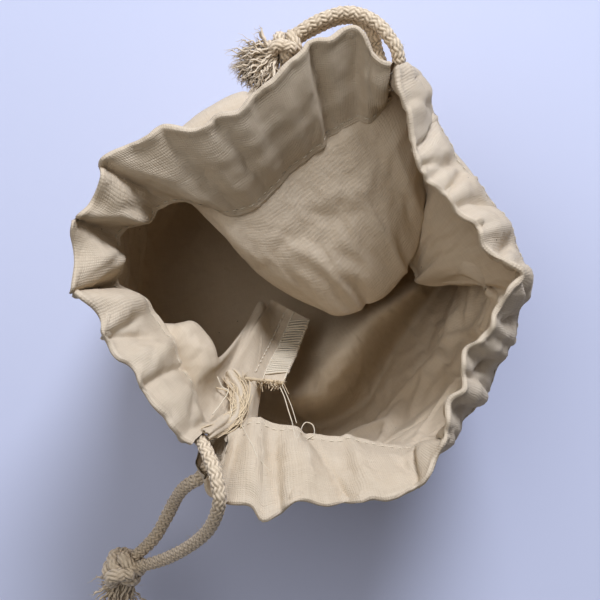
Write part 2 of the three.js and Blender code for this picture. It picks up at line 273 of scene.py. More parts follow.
low = [
    wallu * 1.2 + up * 0.7,
    wallu * (edge * 0.35)[:, None] + up * 0.7,
    wallu * (edge * 0.72)[:, None] + up * 0.7,
    wallu * (edge - 2.0)[:, None] + up * 0.9,
    wallu * (edge + 3.2 - 1.6 * lean)[:, None] + up * 3.6,
    wall_at(12.0),
    wall_at(28.0),
    wall_at(45.0),
    out0,
]
NL = 84
lower = catmull(np.array(low), NL)


def hill(x, y):
    """The base cloth stands up in a broad soft pillow beside the tip of the tuck; a deep valley parts it from the front wall."""
    valley = -38.6 - 0.09 * (x + 42)
    wide = np.clip(16 - 0.45 * np.maximum(x + 5, 0), 8, 16)
    rise = smooth((y - valley) / wide)
    under = (x + 13.5) * 0.61 + (y + 16.8) * 0.79          # past the ridge, under the tuck
    aside = (x + 18.0) * 0.22 + (y + 21.6) * 0.975         # past the ridge, towards seam B
    fall = np.exp(-((np.maximum(under, 0) / 8.0) ** 2)) * np.exp(-((np.maximum(aside, 0) / 8.5) ** 2))
    tall = 39.0 - 0.5 * np.maximum(-18 - x, 0) - 0.35 * np.maximum(x - 2, 0)
    return np.maximum(tall, 0) * rise * fall


rr_ = np.hypot(lower[..., 0], lower[..., 1])
inside = smooth((edge[None] + 1.0 - rr_) / 8.0) * (lower[..., 2] < 6)
lower[..., 2] += hill(lower[..., 0], lower[..., 1]) * inside
lower[..., 2] += 1.2 * (0.5 + 0.5 * noise2(lower[..., 0] / 17 + 9, lower[..., 1] / 17 + 9, 77)) * inside

# ---- the channel: a band of two layers from the stitched line to the folded edge -----------------
NH = 24
h = np.linspace(0, 1, NH)
band = S[None] + (F - S)[None] * h[:, None, None]
# the band bows: it leaves the stitches along the wall's slope and rounds over at the fold
ax = np.roll(F, -1, 0) - np.roll(F, 1, 0)
ax /= np.linalg.norm(ax, axis=1)[:, None]
nrm = np.cross(F - S, ax)
nrm /= np.linalg.norm(nrm, axis=1)[:, None]
flip = np.sign(np.einsum("ij,ij->i", nrm, wallu - up * 0.6))
nrm *= flip[:, None]                              # points to the outside face of the sack
for _ in range(6):
    nrm = (np.roll(nrm, 1, 0) + nrm * 2 + np.roll(nrm, -1, 0)) / 4
nrm /= np.linalg.norm(nrm, axis=1)[:, None]

print("sheet controls ready; rim length", round(float(total), 1))

# pleats push the band in and out, and lift the fold
g = 0.45 + 0.75 * np.sin(np.pi * np.clip(h, 0, 1)) ** 0.8
amp = 2.1
band = band + nrm[None] * (g[:, None] * (wave * amp + wave2 * 0.35)[None])[..., None]
band = band + up * (h[:, None] ** 2 * (wave2 * 0.9 - np.abs(wave) * 0.5)[None])[..., None]
side = ax
band = band + side[None] * (h[:, None] * (np.cos(phase) * height * pleat * 1.1)[None])[..., None]
step = smooth((28.0 - PHI) / 3.0) * (1 - smooth((20.0 - PHI) / 13.0)) * (PHI > 0)
band = band + nrm[None] * (3.6 * step[None] * (np.sin(np.pi * np.clip(0.12 + 0.8 * h, 0, 1)) ** 0.7)[:, None])[..., None]
rise = np.exp(-(((PHI - 29.0) / 2.6) ** 2))
band = band - nrm[None] * (1.3 * rise[None] * (np.sin(np.pi * np.clip(0.1 + 0.8 * h, 0, 1)) ** 0.7)[:, None])[..., None]
puff = 0.46 + 2.1 * np.sin(np.pi * np.clip((h - 0.04) / 0.9, 0, 1)) ** 0.7
puff = puff + 0.35 * np.exp(-(((h - 0.33) / 0.13) ** 2)) + 0.35 * np.exp(-(((h - 0.68) / 0.13) ** 2)) - 0.12 * (h > 0.95)
# cloth between pleats is pressed on to the cords
tight = 0.80 + 0.20 * np.cos(phase * 1.0) * np.clip(pleat, 0, 1)
half = puff[:, None] * tight[None]
ends = np.exp(-(((PHI - 1.5) / 6.5) ** 2)) * 0.9 + np.exp(-(((PHI - 172.0) / 6.0) ** 2)) * 0.9 + np.exp(-(((PHI + 177.5) / 6.0) ** 2)) * 0.9
half = half * (1 + ends[None])
half[-1] = 0.62
half[-2] = np.minimum(half[-2], 1.25)
half[-3] = np.minimum(half[-3], 1.75)
gather = periodic([a for a, _ in GATHER], [r for _, r in GATHER], PHI)
arc_mm = np.interp(PHI, PHI, arc)


def creases(seed, shear, pitch):
    """Narrow valleys across the channel, uneven and a little slanted, deepest half way up."""
    n = int(total / pitch)
    r = np.random.default_rng(seed)
    at = np.sort((np.arange(n) + r.uniform(-0.36, 0.36, n)) * total / n)
    d = np.zeros((NH, NU))
    for c, a0 in enumerate(at):
        slant = shear * r.uniform(-1.0, 1.0) * 9.0
        width = r.uniform(0.9, 1.9)
        depth = r.uniform(0.5, 1.35)
        lo, hi = r.uniform(-0.25, 0.35), r.uniform(0.7, 1.2)
        off = (arc_mm[None] - a0 - slant * (h[:, None] - 0.5) - 1.2 * np.sin(h[:, None] * 3 + c) + total / 2) % total - total / 2
        run = smooth((h - lo) / 0.3) * (1 - smooth((h - hi + 0.2) / 0.35))
        d += depth * np.exp(-((off / width) ** 2)) * run[:, None]
    return d


fold_out = creases(31, 1.0, 8.5) * gather[None]
fold_in = creases(57, 1.0, 9.5) * gather[None]
outer = band + nrm[None] * (half * (1 + 0.10 * gather) - 1.9 * fold_out)[..., None]
inner = band - nrm[None] * (half * (1 + 0.10 * gather) - 1.7 * fold_in)[..., None]
inner[0] -= nrm * 0.42
inner[2] -= nrm * 0.20
outer[0] += nrm * 0.0
lift = (F - S) / np.linalg.norm(F - S, axis=1)[:, None]
NF = 3
arcs = []
for k in range(1, NF + 1):
    a = math.pi * k / (NF + 1)
    arcs.append(band[-1] + nrm * (math.cos(a) * 0.62) + lift * (math.sin(a) * 0.75))
tail = [inner[0] - lift * d + nrm * e for d, e in ((0.55, 0.05), (0.85, 0.25), (0.9, 0.42))]

# wall pleats fade out below the stitches
wv = np.linspace(0, 1, NW)
length = np.linalg.norm(np.diff(upper, axis=0), axis=2).sum(0)
down = (1 - wv)[:, None] * length[None]
fade = np.exp(-down / 16.0)
un = np.cross(np.gradient(upper, axis=0), np.roll(upper, -1, 1) - np.roll(upper, 1, 1))
un /= np.linalg.norm(un, axis=2)[..., None] + 1e-9
sgn = np.sign((un[-1] * nrm).sum(1))
un *= np.where(np.median(sgn) < 0, -1, 1)
upper = upper + (nrm * (g[0] * (wave * amp + wave2 * 0.35))[:, None])[None] * fade[..., None]
upper[-1] = outer[0]

# rows, from the hem's raw edge to the centre of the base
rows = [tail[2], tail[1], tail[0]] + [inner[i] for i in range(NH)] + arcs[::-1] + [outer[i] for i in range(NH - 1, -1, -1)]
R_HEM = len(rows)                                 # rows of the channel
rows += [upper[i] for i in range(NW - 2, -1, -1)]
R_SPLIT = len(rows) - 1                            # the row where upper and lower pieces meet
rows += [lower[i] for i in range(NL - 2, -1, -1)]
P = np.array(rows)
NV = len(P)
print("sheet", P.shape, "split row", R_SPLIT)


def grid_relax(P, fixed, iters, s):
    """Light smoothing of the sheet, so creases between controls don't show. fixed is 0 to 1 per row."""
    for _ in range(iters):
        q = P.copy()
        q[1:-1] = 0.25 * (P[2:] + P[:-2]) + 0.25 * (np.roll(P, 1, 1) + np.roll(P, -1, 1))[1:-1]
        k = (1 - fixed)[:, None, None] * s
        P = P * (1 - k) + q * k
    return P


row = np.arange(NV)
fixed = np.zeros(NV)
fixed[: R_HEM] = 1.0
fixed[R_HEM : R_HEM + 4] = [0.9, 0.6, 0.3, 0.1]
fixed[-1] = 1
P = grid_relax(P, fixed, 14, 0.8)


def sheet_normals(P):
    du = np.roll(P, -1, 1) - np.roll(P, 1, 1)
    dv = np.gradient(P, axis=0)
    n = np.cross(dv, du)
    n /= np.linalg.norm(n, axis=2)[..., None] + 1e-12
    # the wall's outside faces away from the axis
    mid = (R_SPLIT + NV) // 2
    if np.mean((n[mid] * wallu).sum(1)) < 0:
        n = -n
    return n


# soft creases and dents over the whole wall, as the cloth buckles
u_len = np.arange(NU) / NU * 430.0
v_len = np.concatenate([[0], np.cumsum(np.linalg.norm(np.diff(P, axis=0), axis=2).mean(1))])
UU, VV = np.meshgrid(u_len, v_len)
N = sheet_normals(P)
wall_share = smooth((row - R_HEM) / 14.0) * (1 - smooth((row - (NV - 46)) / 30.0))
dents = 1.5 * noise2(UU / 43.0, VV / 30.0, 3, 10) + 0.8 * noise2(UU / 21.5 + VV / 90, VV / 21.0, 5, 20)
crease = 1 - np.abs(noise2(UU / 21.5, VV / 38.0 + 0.5 * np.sin(UU / 430 * 2 * np.pi * 3), 11, 20)) * 2
crease = np.clip(crease, 0, 1) ** 3
P = P + N * ((dents * 0.9 - 0.7 * crease) * wall_share[:, None])[..., None]
hem_share = np.clip(1 - np.abs(row - R_HEM / 2) / (R_HEM / 2), 0, 1) ** 0.4
P = P + N * (0.28 * noise2(UU / 10.75, VV / 9.0, 21, 40) * hem_share[:, None])[..., None]


def mesh_object(name, verts_mm, faces, normals=None, uvs=None, sharp=False):
    """faces is a list of integer arrays (m, 3) or (m, 4)."""
    me = bpy.data.meshes.new(name)
    faces = [f for f in faces if len(f)]
    loops = np.concatenate([f.ravel() for f in faces]).astype(np.int32)
    totals = np.concatenate([np.full(len(f), f.shape[1]) for f in faces]).astype(np.int32)
    starts = np.concatenate([[0], np.cumsum(totals)[:-1]]).astype(np.int32)
    me.vertices.add(len(verts_mm))
    me.vertices.foreach_set("co", (np.asarray(verts_mm) * MM).astype(np.float32).ravel())
    me.loops.add(len(loops))
    me.loops.foreach_set("vertex_index", loops)
    me.polygons.add(len(totals))
    me.polygons.foreach_set("loop_start", starts)
    me.polygons.foreach_set("loop_total", totals)
    me.polygons.foreach_set("use_smooth", np.full(len(totals), not sharp))
    if uvs is not None:
        layer = me.uv_layers.new(name="cloth")
        layer.data.foreach_set("uv", uvs[loops].astype(np.float32).ravel())
    me.update(calc_edges=True)
    me.validate()
    if normals is not None:
        me.normals_split_custom_set_from_vertices(normals.astype(np.float32))
    o = bpy.data.objects.new(name, me)
    bpy.context.scene.collection.objects.link(o)
    return o


def simulate_sheet(P, frames=14):
    """The whole cloth relaxes with a little more material than the space it fills, so it buckles on its own."""
    ru, rv = 2, 2
    rows_i = np.unique(np.concatenate([np.arange(0, NV - 1, rv), [NV - 1]]))
    Q = P[rows_i][:, ::ru]
    nv, nu = Q.shape[:2]
    idx = np.arange(nv * nu).reshape(nv, nu)
    a, b = idx[:-1], np.roll(idx, -1, 1)[:-1]
    c, d = np.roll(idx, -1, 1)[1:], idx[1:]
    quads = np.stack([a, b, c, d], -1).reshape(-1, 4)
    o = mesh_object("sheet_sim", Q.reshape(-1, 3) * 10.0, [quads])   # 1 mm is simulated as 10 mm
    grp = o.vertex_groups.new(name="hold")
    w = np.interp(rows_i, [0, R_HEM - 1, R_HEM + 10, R_HEM + 40, R_SPLIT, R_SPLIT + 30, NV - 30, NV - 12, NV - 1],
                  [0.95, 0.92, 0.35, 0.10, 0.16, 0.16, 0.5, 0.95, 1.0])
    for r in range(nv):
        grp.add(idx[r].tolist(), float(w[r]), "REPLACE")
    m = o.modifiers.new("Cloth", "CLOTH")
    cs = m.settings
    cs.quality = 6
    cs.mass = 0.15
    cs.tension_stiffness = 18
    cs.compression_stiffness = 18
    cs.shear_stiffness = 6
    cs.bending_stiffness = 0.6
    cs.air_damping = 2.0
    cs.vertex_group_mass = "hold"
    cs.pin_stiffness = 0.9
    cs.use_dynamic_mesh = False
    cs.shrink_min = -0.055
    cs.shrink_max = -0.055
    m.settings.effector_weights.gravity = 0.25
    m.collision_settings.use_collision = False
    m.collision_settings.use_self_collision = False
    m.point_cache.frame_start, m.point_cache.frame_end = 1, frames
    sc = bpy.context.scene
    sc.frame_start, sc.frame_end = 1, frames
    for f in range(1, frames + 1):
        sc.frame_set(f)
    dg = bpy.context.evaluated_depsgraph_get()
    ev = o.evaluated_get(dg)
    co = np.zeros(len(ev.data.vertices) * 3, np.float32)
    ev.data.vertices.foreach_get("co", co)
    R = co.reshape(nv, nu, 3).astype(float) * 100.0
    sc.frame_set(1)
    D = R - Q
    far = np.linalg.norm(D, axis=2)
    print("cloth moved: mean %.2f mm, most %.2f mm" % (far.mean(), far.max()))
    cap = 4.5
    D *= np.minimum(1, cap / np.maximum(far, 1e-6))[..., None]
    bpy.data.objects.remove(o)
    # back on to the fine sheet
    D = np.concatenate([D, D[:, :1]], 1)
    full = np.zeros((nv, NU, 3))
    xu = np.arange(NU) / ru
    i = np.minimum(xu.astype(int), nu - 1)
    t = (xu - i)[None, :, None]
    full = D[:, i] * (1 - t) + D[:, i + 1] * t
    out = np.zeros_like(P)
    j = np.clip(np.searchsorted(rows_i, row, side="right") - 1, 0, nv - 2)
    s = ((row - rows_i[j]) / (rows_i[j + 1] - rows_i[j]))[:, None, None]
    out = full[j] * (1 - s) + full[j + 1] * s
    for _ in range(2):
        out[1:-1] = 0.5 * out[1:-1] + 0.125 * (out[2:] + out[:-2] + np.roll(out, 1, 1)[1:-1] + np.roll(out, -1, 1)[1:-1])
    return P + out


P = simulate_sheet(P)
P[:, :, 2] = np.maximum(P[:, :, 2], 0.45)
N = sheet_normals(P)
# where the wall is nearly closed on itself normals are averaged, so that the two skins don't cross
for _ in range(2):
    N[1:-1] = N[1:-1] * 0.5 + 0.125 * (N[2:] + N[:-2] + np.roll(N, 1, 1)[1:-1] + np.roll(N, -1, 1)[1:-1])
    N /= np.linalg.norm(N, axis=2)[..., None] + 1e-12

U_MM = np.broadcast_to(u_len[None], (NV, NU))
V_MM = np.broadcast_to(v_len[:, None], (NV, NU))
SEAM_A = int(round((0.75 + 180) / 0.75))
SEAM_B = int(round((175.5 + 180) / 0.75))


def skin(r0, r1, cols):
    """Closed solid of the cloth between rows r0 and r1 over the columns, with its outer normals."""
    p = P[r0 : r1 + 1][:, cols]
    n = N[r0 : r1 + 1][:, cols]
    ring = len(cols) == NU
    out = p + n * THICK / 2
    inn = p - n * THICK / 2
    nr, nc = p.shape[:2]
    k = nr * nc
    idx = np.arange(k).reshape(nr, nc)
    if ring:
        right = np.roll(idx, -1, 1)
        a, b, c, d = idx[:-1], right[:-1], right[1:], idx[1:]
    else:
        a, b, c, d = idx[:-1, :-1], idx[:-1, 1:], idx[1:, 1:], idx[1:, :-1]
    quads = np.stack([a, b, c, d], -1).reshape(-1, 4)
    verts = np.concatenate([out.reshape(-1, 3), inn.reshape(-1, 3)])
    normals = np.concatenate([n.reshape(-1, 3), -n.reshape(-1, 3)])
    uv = np.stack([U_MM[r0 : r1 + 1][:, cols], V_MM[r0 : r1 + 1][:, cols]], -1).reshape(-1, 2)
    uv = np.concatenate([uv, uv]) * 0.01
    return out, inn, quads, k, idx, verts, normals, uv, ring


def orient(verts, quads):
    """Face normals of up to a thousand quads from the middle of the list, and those quads, for telling whether the
    winding gives outward normals for the first skin.
    """
    q = quads[len(quads) // 2 - 500 : len(quads) // 2 + 500]
    v = verts
    n = np.cross(v[q[:, 1]] - v[q[:, 0]], v[q[:, 2]] - v[q[:, 0]])
    return n, q


def edge_strip(line, k, flip):
    """Quads joining the two skins along a line of indices of the outer skin."""
    a, b = line[:-1], line[1:]
    q = np.stack([a, b, b + k, a + k], -1)
    return q[:, ::-1] if flip else q


def cloth_piece(name, r0, r1, cols):
    out, inn, quads, k, idx, verts, normals, uv, ring = skin(r0, r1, cols)
    n, q = orient(verts, quads)
    outward = np.mean((n * normals[q[:, 0]]).sum(1)) > 0
    front = quads if outward else quads[:, ::-1]
    back = (quads + k)[:, ::-1] if outward else quads + k
    f = [front, back]
    top = np.append(idx[0], idx[0, 0]) if ring else idx[0]
    bottom = np.append(idx[-1], idx[-1, 0]) if ring else idx[-1]
    f.append(edge_strip(top, k, outward))
    if not ring:
        f.append(edge_strip(bottom, k, not outward))
        f.append(edge_strip(idx[:, 0], k, not outward))
        f.append(edge_strip(idx[:, -1], k, outward))
        return mesh_object(name, verts, f, normals, uv)
    # base: a fan of triangles to one centre point closes the sheet at its centre
    ringo, ringi = idx[-1], idx[-1] + k
    verts, normals, uv = [verts], [normals], [uv]
    total_v = 2 * k
    r_last = np.linalg.norm(P[r1][:, :2], axis=1)
    tris = []
    for m, share in ((1, 0.0),):
        ang = np.radians(PHI[:: NU // m][:m]) if m > 1 else np.array([0.0])
        rr = r_last[:: NU // m][:m] * share if m > 1 else np.array([0.0])
        zz = P[r1][:, 2].mean()
        base = np.stack([rr * np.cos(ang), rr * np.sin(ang), np.full(m, zz)], -1)
        new_o = total_v + np.arange(m)
        new_i = total_v + m + np.arange(m)
        verts += [base + [0, 0, -THICK / 2], base + [0, 0, THICK / 2]]
        normals += [np.tile([0, 0, -1.0], (m, 1)), np.tile([0, 0, 1.0], (m, 1))]
        bu = np.stack([base[:, 0] + 215, base[:, 1] + v_len[-1]], -1) * 0.01
        uv += [bu, bu]
        for prev, new, up_side in ((ringo, new_o, False), (ringi, new_i, True)):
            n_p = len(prev)
            for j in range(n_p):
                j2 = (j + 1) % n_p
                x, y = new[(j * m) // n_p], new[(j2 * m) // n_p if j2 else 0]
                # counter-clockwise from above
                t = [[prev[j], prev[j2], x]]
                if x != y:
                    t.append([prev[j2], y, x])
                for tri in t:
                    tris.append(tri if up_side else tri[::-1])
        ringo, ringi = new_o, new_i
        total_v += 2 * m
    f.append(np.array(tris))
    return mesh_object(name, np.concatenate(verts), f, np.concatenate(normals), np.concatenate(uv))


# ----------------------------------------------------------------------------------------------
# materials
# ----------------------------------------------------------------------------------------------
class Nodes:
    """Short names for building a node tree."""

    def __init__(self, name):
        self.m = bpy.data.materials.new(name)
        self.m.use_nodes = True
        self.t = self.m.node_tree
        self.t.nodes.clear()
        self.out = self.t.nodes.new("ShaderNodeOutputMaterial")

    def new(self, kind, **inputs):
        n = self.t.nodes.new(kind)
        for k, v in inputs.items():
            self.put(n, k, v)
        return n

    def put(self, n, key, v):
        sock = n.inputs[key] if not isinstance(key, str) else n.inputs[key.replace("_", " ")]
        if isinstance(v, bpy.types.NodeSocket):
            self.t.links.new(v, sock)
        else:
            sock.default_value = v

    def math(self, op, a, b=0.0, c=0.0):
        n = self.t.nodes.new("ShaderNodeMath")
        n.operation = op
        for i, v in enumerate((a, b, c)):
            self.put(n, i, v)
        return n.outputs[0]

    def ramp(self, fac, stops):
        n = self.t.nodes.new("ShaderNodeValToRGB")
        self.put(n, "Fac", fac)
        els = n.color_ramp.elements
        while len(els) < len(stops):
            els.new(0.5)
        for e, (p, c) in zip(els, stops):
            e.position = p
            e.color = c if len(c) == 4 else (*c, 1)
        return n.outputs["Color"]

    def mix(self, fac, a, b, blend="MIX"):
        n = self.t.nodes.new("ShaderNodeMix")
        n.data_type = "RGBA"
        n.blend_type = blend
        self.put(n, 0, fac)
        self.put(n, 6, a)
        self.put(n, 7, b)
        return n.outputs[2]

    def noise(self, vec, scale, detail=2.0, rough=0.5):
        n = self.new("ShaderNodeTexNoise", Vector=vec, Scale=scale, Detail=detail, Roughness=rough)
        return n.outputs["Fac"]


def srgb(r, g, b):
    return tuple(((c / 255) / 12.92 if c / 255 <= 0.04045 else ((c / 255 + 0.055) / 1.055) ** 2.4) for c in (r, g, b)) + (1.0,)


CLOTH_LIGHT = srgb(236, 222, 198)
CLOTH_DARK = srgb(220, 201, 171)
SPECK = srgb(88, 58, 34)


def calico(name, weave=0.00007, contrast=0.035):
    """Plain weave: threads 0.61 mm apart both ways, uneven yarn, seed specks, slightly blotched."""
    n = Nodes(name)
    uv = n.new("ShaderNodeUVMap")
    uv.uv_map = "cloth"
    sep = n.new("ShaderNodeSeparateXYZ", Vector=uv.outputs["UV"])
    u, v = sep.outputs[0], sep.outputs[1]
    # 1 in these coordinates is 100 mm
    pos = n.new("ShaderNodeTexCoord").outputs["Object"]
    wob = n.noise(uv.outputs["UV"], 14.0, 2)
    u = n.math("ADD", u, n.math("MULTIPLY", wob, 0.012))
    v = n.math("ADD", v, n.math("MULTIPLY", wob, 0.010))
    k = math.pi / 0.0061
    su = n.math("SINE", n.math("MULTIPLY", u, k))
    sv = n.math("SINE", n.math("MULTIPLY", v, k))
    over = n.math("MULTIPLY", su, sv)
    grid = n.math("MULTIPLY", n.math("ABSOLUTE", su), n.math("ABSOLUTE", sv))
    check = n.math("ADD", n.math("MULTIPLY", n.math("SUBTRACT", 0.42, grid), 1.9), n.math("MULTIPLY", over, 0.22))
    stretch_u = n.new("ShaderNodeCombineXYZ", X=n.math("MULTIPLY", u, 12.0), Y=n.math("MULTIPLY", v, 170.0))
    stretch_v = n.new("ShaderNodeCombineXYZ", X=n.math("MULTIPLY", u, 170.0), Y=n.math("MULTIPLY", v, 12.0))
    slub_u = n.noise(stretch_u.outputs[0], 1.0, 2, 0.6)
    slub_v = n.noise(stretch_v.outputs[0], 1.0, 2, 0.6)
    slub = n.math("ADD", slub_u, slub_v)
    bigx = n.noise(pos, 42.0, 4, 0.6)
    base = n.mix(n.math("MULTIPLY", bigx, 0.9), CLOTH_DARK, CLOTH_LIGHT)
    yarn = n.math("ADD", n.math("MULTIPLY", check, contrast), n.math("MULTIPLY", n.math("SUBTRACT", slub, 1.0), 0.55))
    base = n.mix(n.math("MULTIPLY", n.math("ADD", yarn, 0.35), 0.75), base, srgb(196, 174, 143), "MIX")
    # seed specks
    vor = n.new("ShaderNodeTexVoronoi", Scale=16.0, Vector=uv.outputs["UV"])
    vor.distance = "EUCLIDEAN"
    rnd = n.new("ShaderNodeSeparateXYZ", Vector=vor.outputs["Color"])
    size = n.math("MULTIPLY", n.math("SUBTRACT", rnd.outputs[0], 0.62), 0.14)
    speck = n.math("LESS_THAN", vor.outputs["Distance"], size)
    vor2 = n.new("ShaderNodeTexVoronoi", Scale=38.0, Vector=uv.outputs["UV"])
    rnd2 = n.new("ShaderNodeSeparateXYZ", Vector=vor2.outputs["Color"])
    size2 = n.math("MULTIPLY", n.math("SUBTRACT", rnd2.outputs[1], 0.6), 0.09)
    speck2 = n.math("MULTIPLY", n.math("LESS_THAN", vor2.outputs["Distance"], size2), 0.6)
    base = n.mix(n.math("MULTIPLY", n.math("MAXIMUM", speck, speck2), 0.82), base, SPECK)
    height = n.math("ADD", n.math("MULTIPLY", check, -0.5), n.math("MULTIPLY", slub, 1.1))
    bump = n.new("ShaderNodeBump", Height=height, Strength=0.8, Distance=weave)
    crump = n.noise(pos, 330.0, 3, 0.55)
    bump2 = n.new("ShaderNodeBump", Height=crump, Strength=0.35, Distance=0.0009, Normal=bump.outputs[0])
    p = n.new("ShaderNodeBsdfPrincipled", Base_Color=base, Roughness=0.86, Normal=bump2.outputs[0])
    p.inputs["Specular IOR Level"].default_value = 0.18
    p.inputs["Sheen Weight"].default_value = 0.28
    p.inputs["Sheen Roughness"].default_value = 0.45
    p.inputs["Sheen Tint"].default_value = srgb(240, 228, 206)
    tr = n.new("ShaderNodeBsdfTranslucent", Color=srgb(226, 204, 170), Normal=bump2.outputs[0])
    mixs = n.new("ShaderNodeMixShader")
    mixs.inputs[0].default_value = 0.15
    n.t.links.new(p.outputs[0], mixs.inputs[1])
    n.t.links.new(tr.outputs[0], mixs.inputs[2])
    n.t.links.new(mixs.outputs[0], n.out.inputs["Surface"])
    return n.m


def yarn_mat(name, light, dark, groove_shade=0.45, bump_d=0.00012):
    """Spun cotton: fine fibres running along the yarn, with painted shade in enclosed places and painted shade in the
    grooves between plies.
    """
    n = Nodes(name)
    uv = n.new("ShaderNodeUVMap")
    uv.uv_map = "cloth"
    sep = n.new("ShaderNodeSeparateXYZ", Vector=uv.outputs["UV"])
    # u goes round the yarn (0 to 1), v is millimetres along it
    vec = n.new("ShaderNodeCombineXYZ", X=n.math("MULTIPLY", sep.outputs[0], 26.0), Y=n.math("MULTIPLY", sep.outputs[1], 0.9))
    fib = n.noise(vec.outputs[0], 1.0, 3, 0.65)
    pos = n.new("ShaderNodeTexCoord").outputs["Object"]
    big = n.noise(pos, 260.0, 3, 0.6)
    ao = n.new("ShaderNodeAmbientOcclusion")
    ao.samples = 4
    ao.inputs["Distance"].default_value = 0.0012
    f = n.math("ADD", n.math("MULTIPLY", fib, 0.65), n.math("MULTIPLY", big, 0.45))
    col = n.mix(f, dark, light)
    # painted shade: the colour goes towards half the dark yarn colour where ambient occlusion finds other surfaces
    # close by
    col = n.mix(n.math("SUBTRACT", 1.0, ao.outputs["AO"]), col, tuple(c * 0.5 for c in dark[:3]) + (1,))
    # painted shade in the grooves between plies: where pointiness is low the colour goes to the dark yarn colour times
    # the groove shade factor
    point = n.new("ShaderNodeNewGeometry").outputs["Pointiness"]
    ridge = n.math("MULTIPLY", n.math("SUBTRACT", point, 0.385), 7.5)
    ridge.node.use_clamp = True
    col = n.mix(ridge, tuple(c * groove_shade for c in dark[:3]) + (1,), col)
    bump = n.new("ShaderNodeBump", Height=fib, Strength=0.6, Distance=bump_d)
    p = n.new("ShaderNodeBsdfPrincipled", Base_Color=col, Roughness=0.9, Normal=bump.outputs[0])
    p.inputs["Specular IOR Level"].default_value = 0.15
    p.inputs["Sheen Weight"].default_value = 0.35
    p.inputs["Sheen Roughness"].default_value = 0.5
    n.t.links.new(p.outputs[0], n.out.inputs["Surface"])
    return n.m


M_CLOTH = calico("calico")
M_HEM = calico("calico_hem", 0.00014, 0.12)
M_CORD = yarn_mat("cord", srgb(244, 226, 196), srgb(200, 176, 142), 0.55)
M_FRAY = yarn_mat("frayed_cord", srgb(236, 218, 190), srgb(208, 188, 156), 0.85)
M_THREAD = yarn_mat("thread", srgb(238, 226, 200), srgb(210, 190, 158), 0.8)
M_LOOSE = yarn_mat("loose_yarn", srgb(236, 216, 180), srgb(206, 180, 140), 0.8)


def paint(o, *mats):
    for m in mats:
        o.data.materials.append(m)


# ----------------------------------------------------------------------------------------------
# tubes: cords, yarns, threads, fibres. Every tube is a closed body.
# ----------------------------------------------------------------------------------------------
def spline(points, step):
    """Evenly spaced points on a smooth curve through the given ones (mm)."""
    p = np.array(points, float)
    pts = np.vstack([2 * p[0] - p[1], p, 2 * p[-1] - p[-2]])
    out = []
    for i in range(1, len(pts) - 2):
        p0, p1, p2, p3 = pts[i - 1 : i + 3]
        # uniform Catmull-Rom segment, 16 samples each
        for t in np.linspace(0, 1, 16, endpoint=False):
            out.append(0.5 * (2 * p1 + (p2 - p0) * t + (2 * p0 - 5 * p1 + 4 * p2 - p3) * t * t + (3 * p1 - p0 - 3 * p2 + p3) * t**3))
    out.append(p[-1])
    out = np.array(out)
    s = np.concatenate([[0], np.cumsum(np.linalg.norm(np.diff(out, axis=0), axis=1))])
    n = max(3, int(round(s[-1] / step)) + 1)
    w = np.linspace(0, s[-1], n)
    return np.stack([np.interp(w, s, out[:, a]) for a in range(3)], -1)


def frames(path):
    """Tangents and two normals carried along the path without twisting."""
    t = np.gradient(path, axis=0)
    t /= np.linalg.norm(t, axis=1)[:, None] + 1e-12
    a = np.array([0, 0, 1.0]) if abs(t[0, 2]) < 0.9 else np.array([1.0, 0, 0])
    n = np.zeros_like(path)
    n[0] = np.cross(t[0], a)
    n[0] /= np.linalg.norm(n[0])
    for i in range(1, len(path)):
        v = n[i - 1] - t[i] * np.dot(n[i - 1], t[i])
        n[i] = v / (np.linalg.norm(v) + 1e-12)
    return t, n, np.cross(t, n)


def tube_data(path, radius, sides, heights=None, start=0.0):
    """Vertices, quads, caps, uvs for one closed tube. radius: number or one per path point. heights: (len, sides) added radially."""
    path = np.asarray(path, float)
    m = len(path)
    t, n1, n2 = frames(path)
    r = np.broadcast_to(np.asarray(radius, float), (m,)) if np.ndim(radius) <= 1 else radius
    a = np.arange(sides) * 2 * np.pi / sides
    ring = np.cos(a)[None, :, None] * n1[:, None] + np.sin(a)[None, :, None] * n2[:, None]
    rr = r[:, None] + (heights if heights is not None else 0)
    rr = np.broadcast_to(rr, (m, sides))
    v = path[:, None] + ring * rr[..., None]
    v = v.reshape(-1, 3)
    s = start + np.concatenate([[0], np.cumsum(np.linalg.norm(np.diff(path, axis=0), axis=1))])
    uv = np.stack([np.broadcast_to(a / (2 * np.pi), (m, sides)), np.broadcast_to(s[:, None], (m, sides))], -1).reshape(-1, 2)
    idx = np.arange(m * sides).reshape(m, sides)
    q = np.stack([idx[:-1], np.roll(idx, -1, 1)[:-1], np.roll(idx, -1, 1)[1:], idx[1:]], -1).reshape(-1, 4)
    v = np.vstack([v, path[0] - t[0] * r[0] * 0.35, path[-1] + t[-1] * r[-1] * 0.35])
    uv = np.vstack([uv, [0.5, s[0]], [0.5, s[-1]]])
    c0, c1 = m * sides, m * sides + 1
    tri = np.vstack([np.stack([np.full(sides, c0), np.roll(idx[0], -1), idx[0]], -1),
                     np.stack([np.full(sides, c1), idx[-1], np.roll(idx[-1], -1)], -1)])
    return v, q, tri, uv


def join_tubes(name, tubes, mat):
    vs, qs, ts, us, k = [], [], [], [], 0
    for v, q, t, u in tubes:
        vs.append(v)
        qs.append(q + k)
        ts.append(t + k)
        us.append(u)
        k += len(v)
    o = mesh_object(name, np.vstack(vs), [np.vstack(qs), np.vstack(ts)], None, np.vstack(us))
    paint(o, mat)
    return o


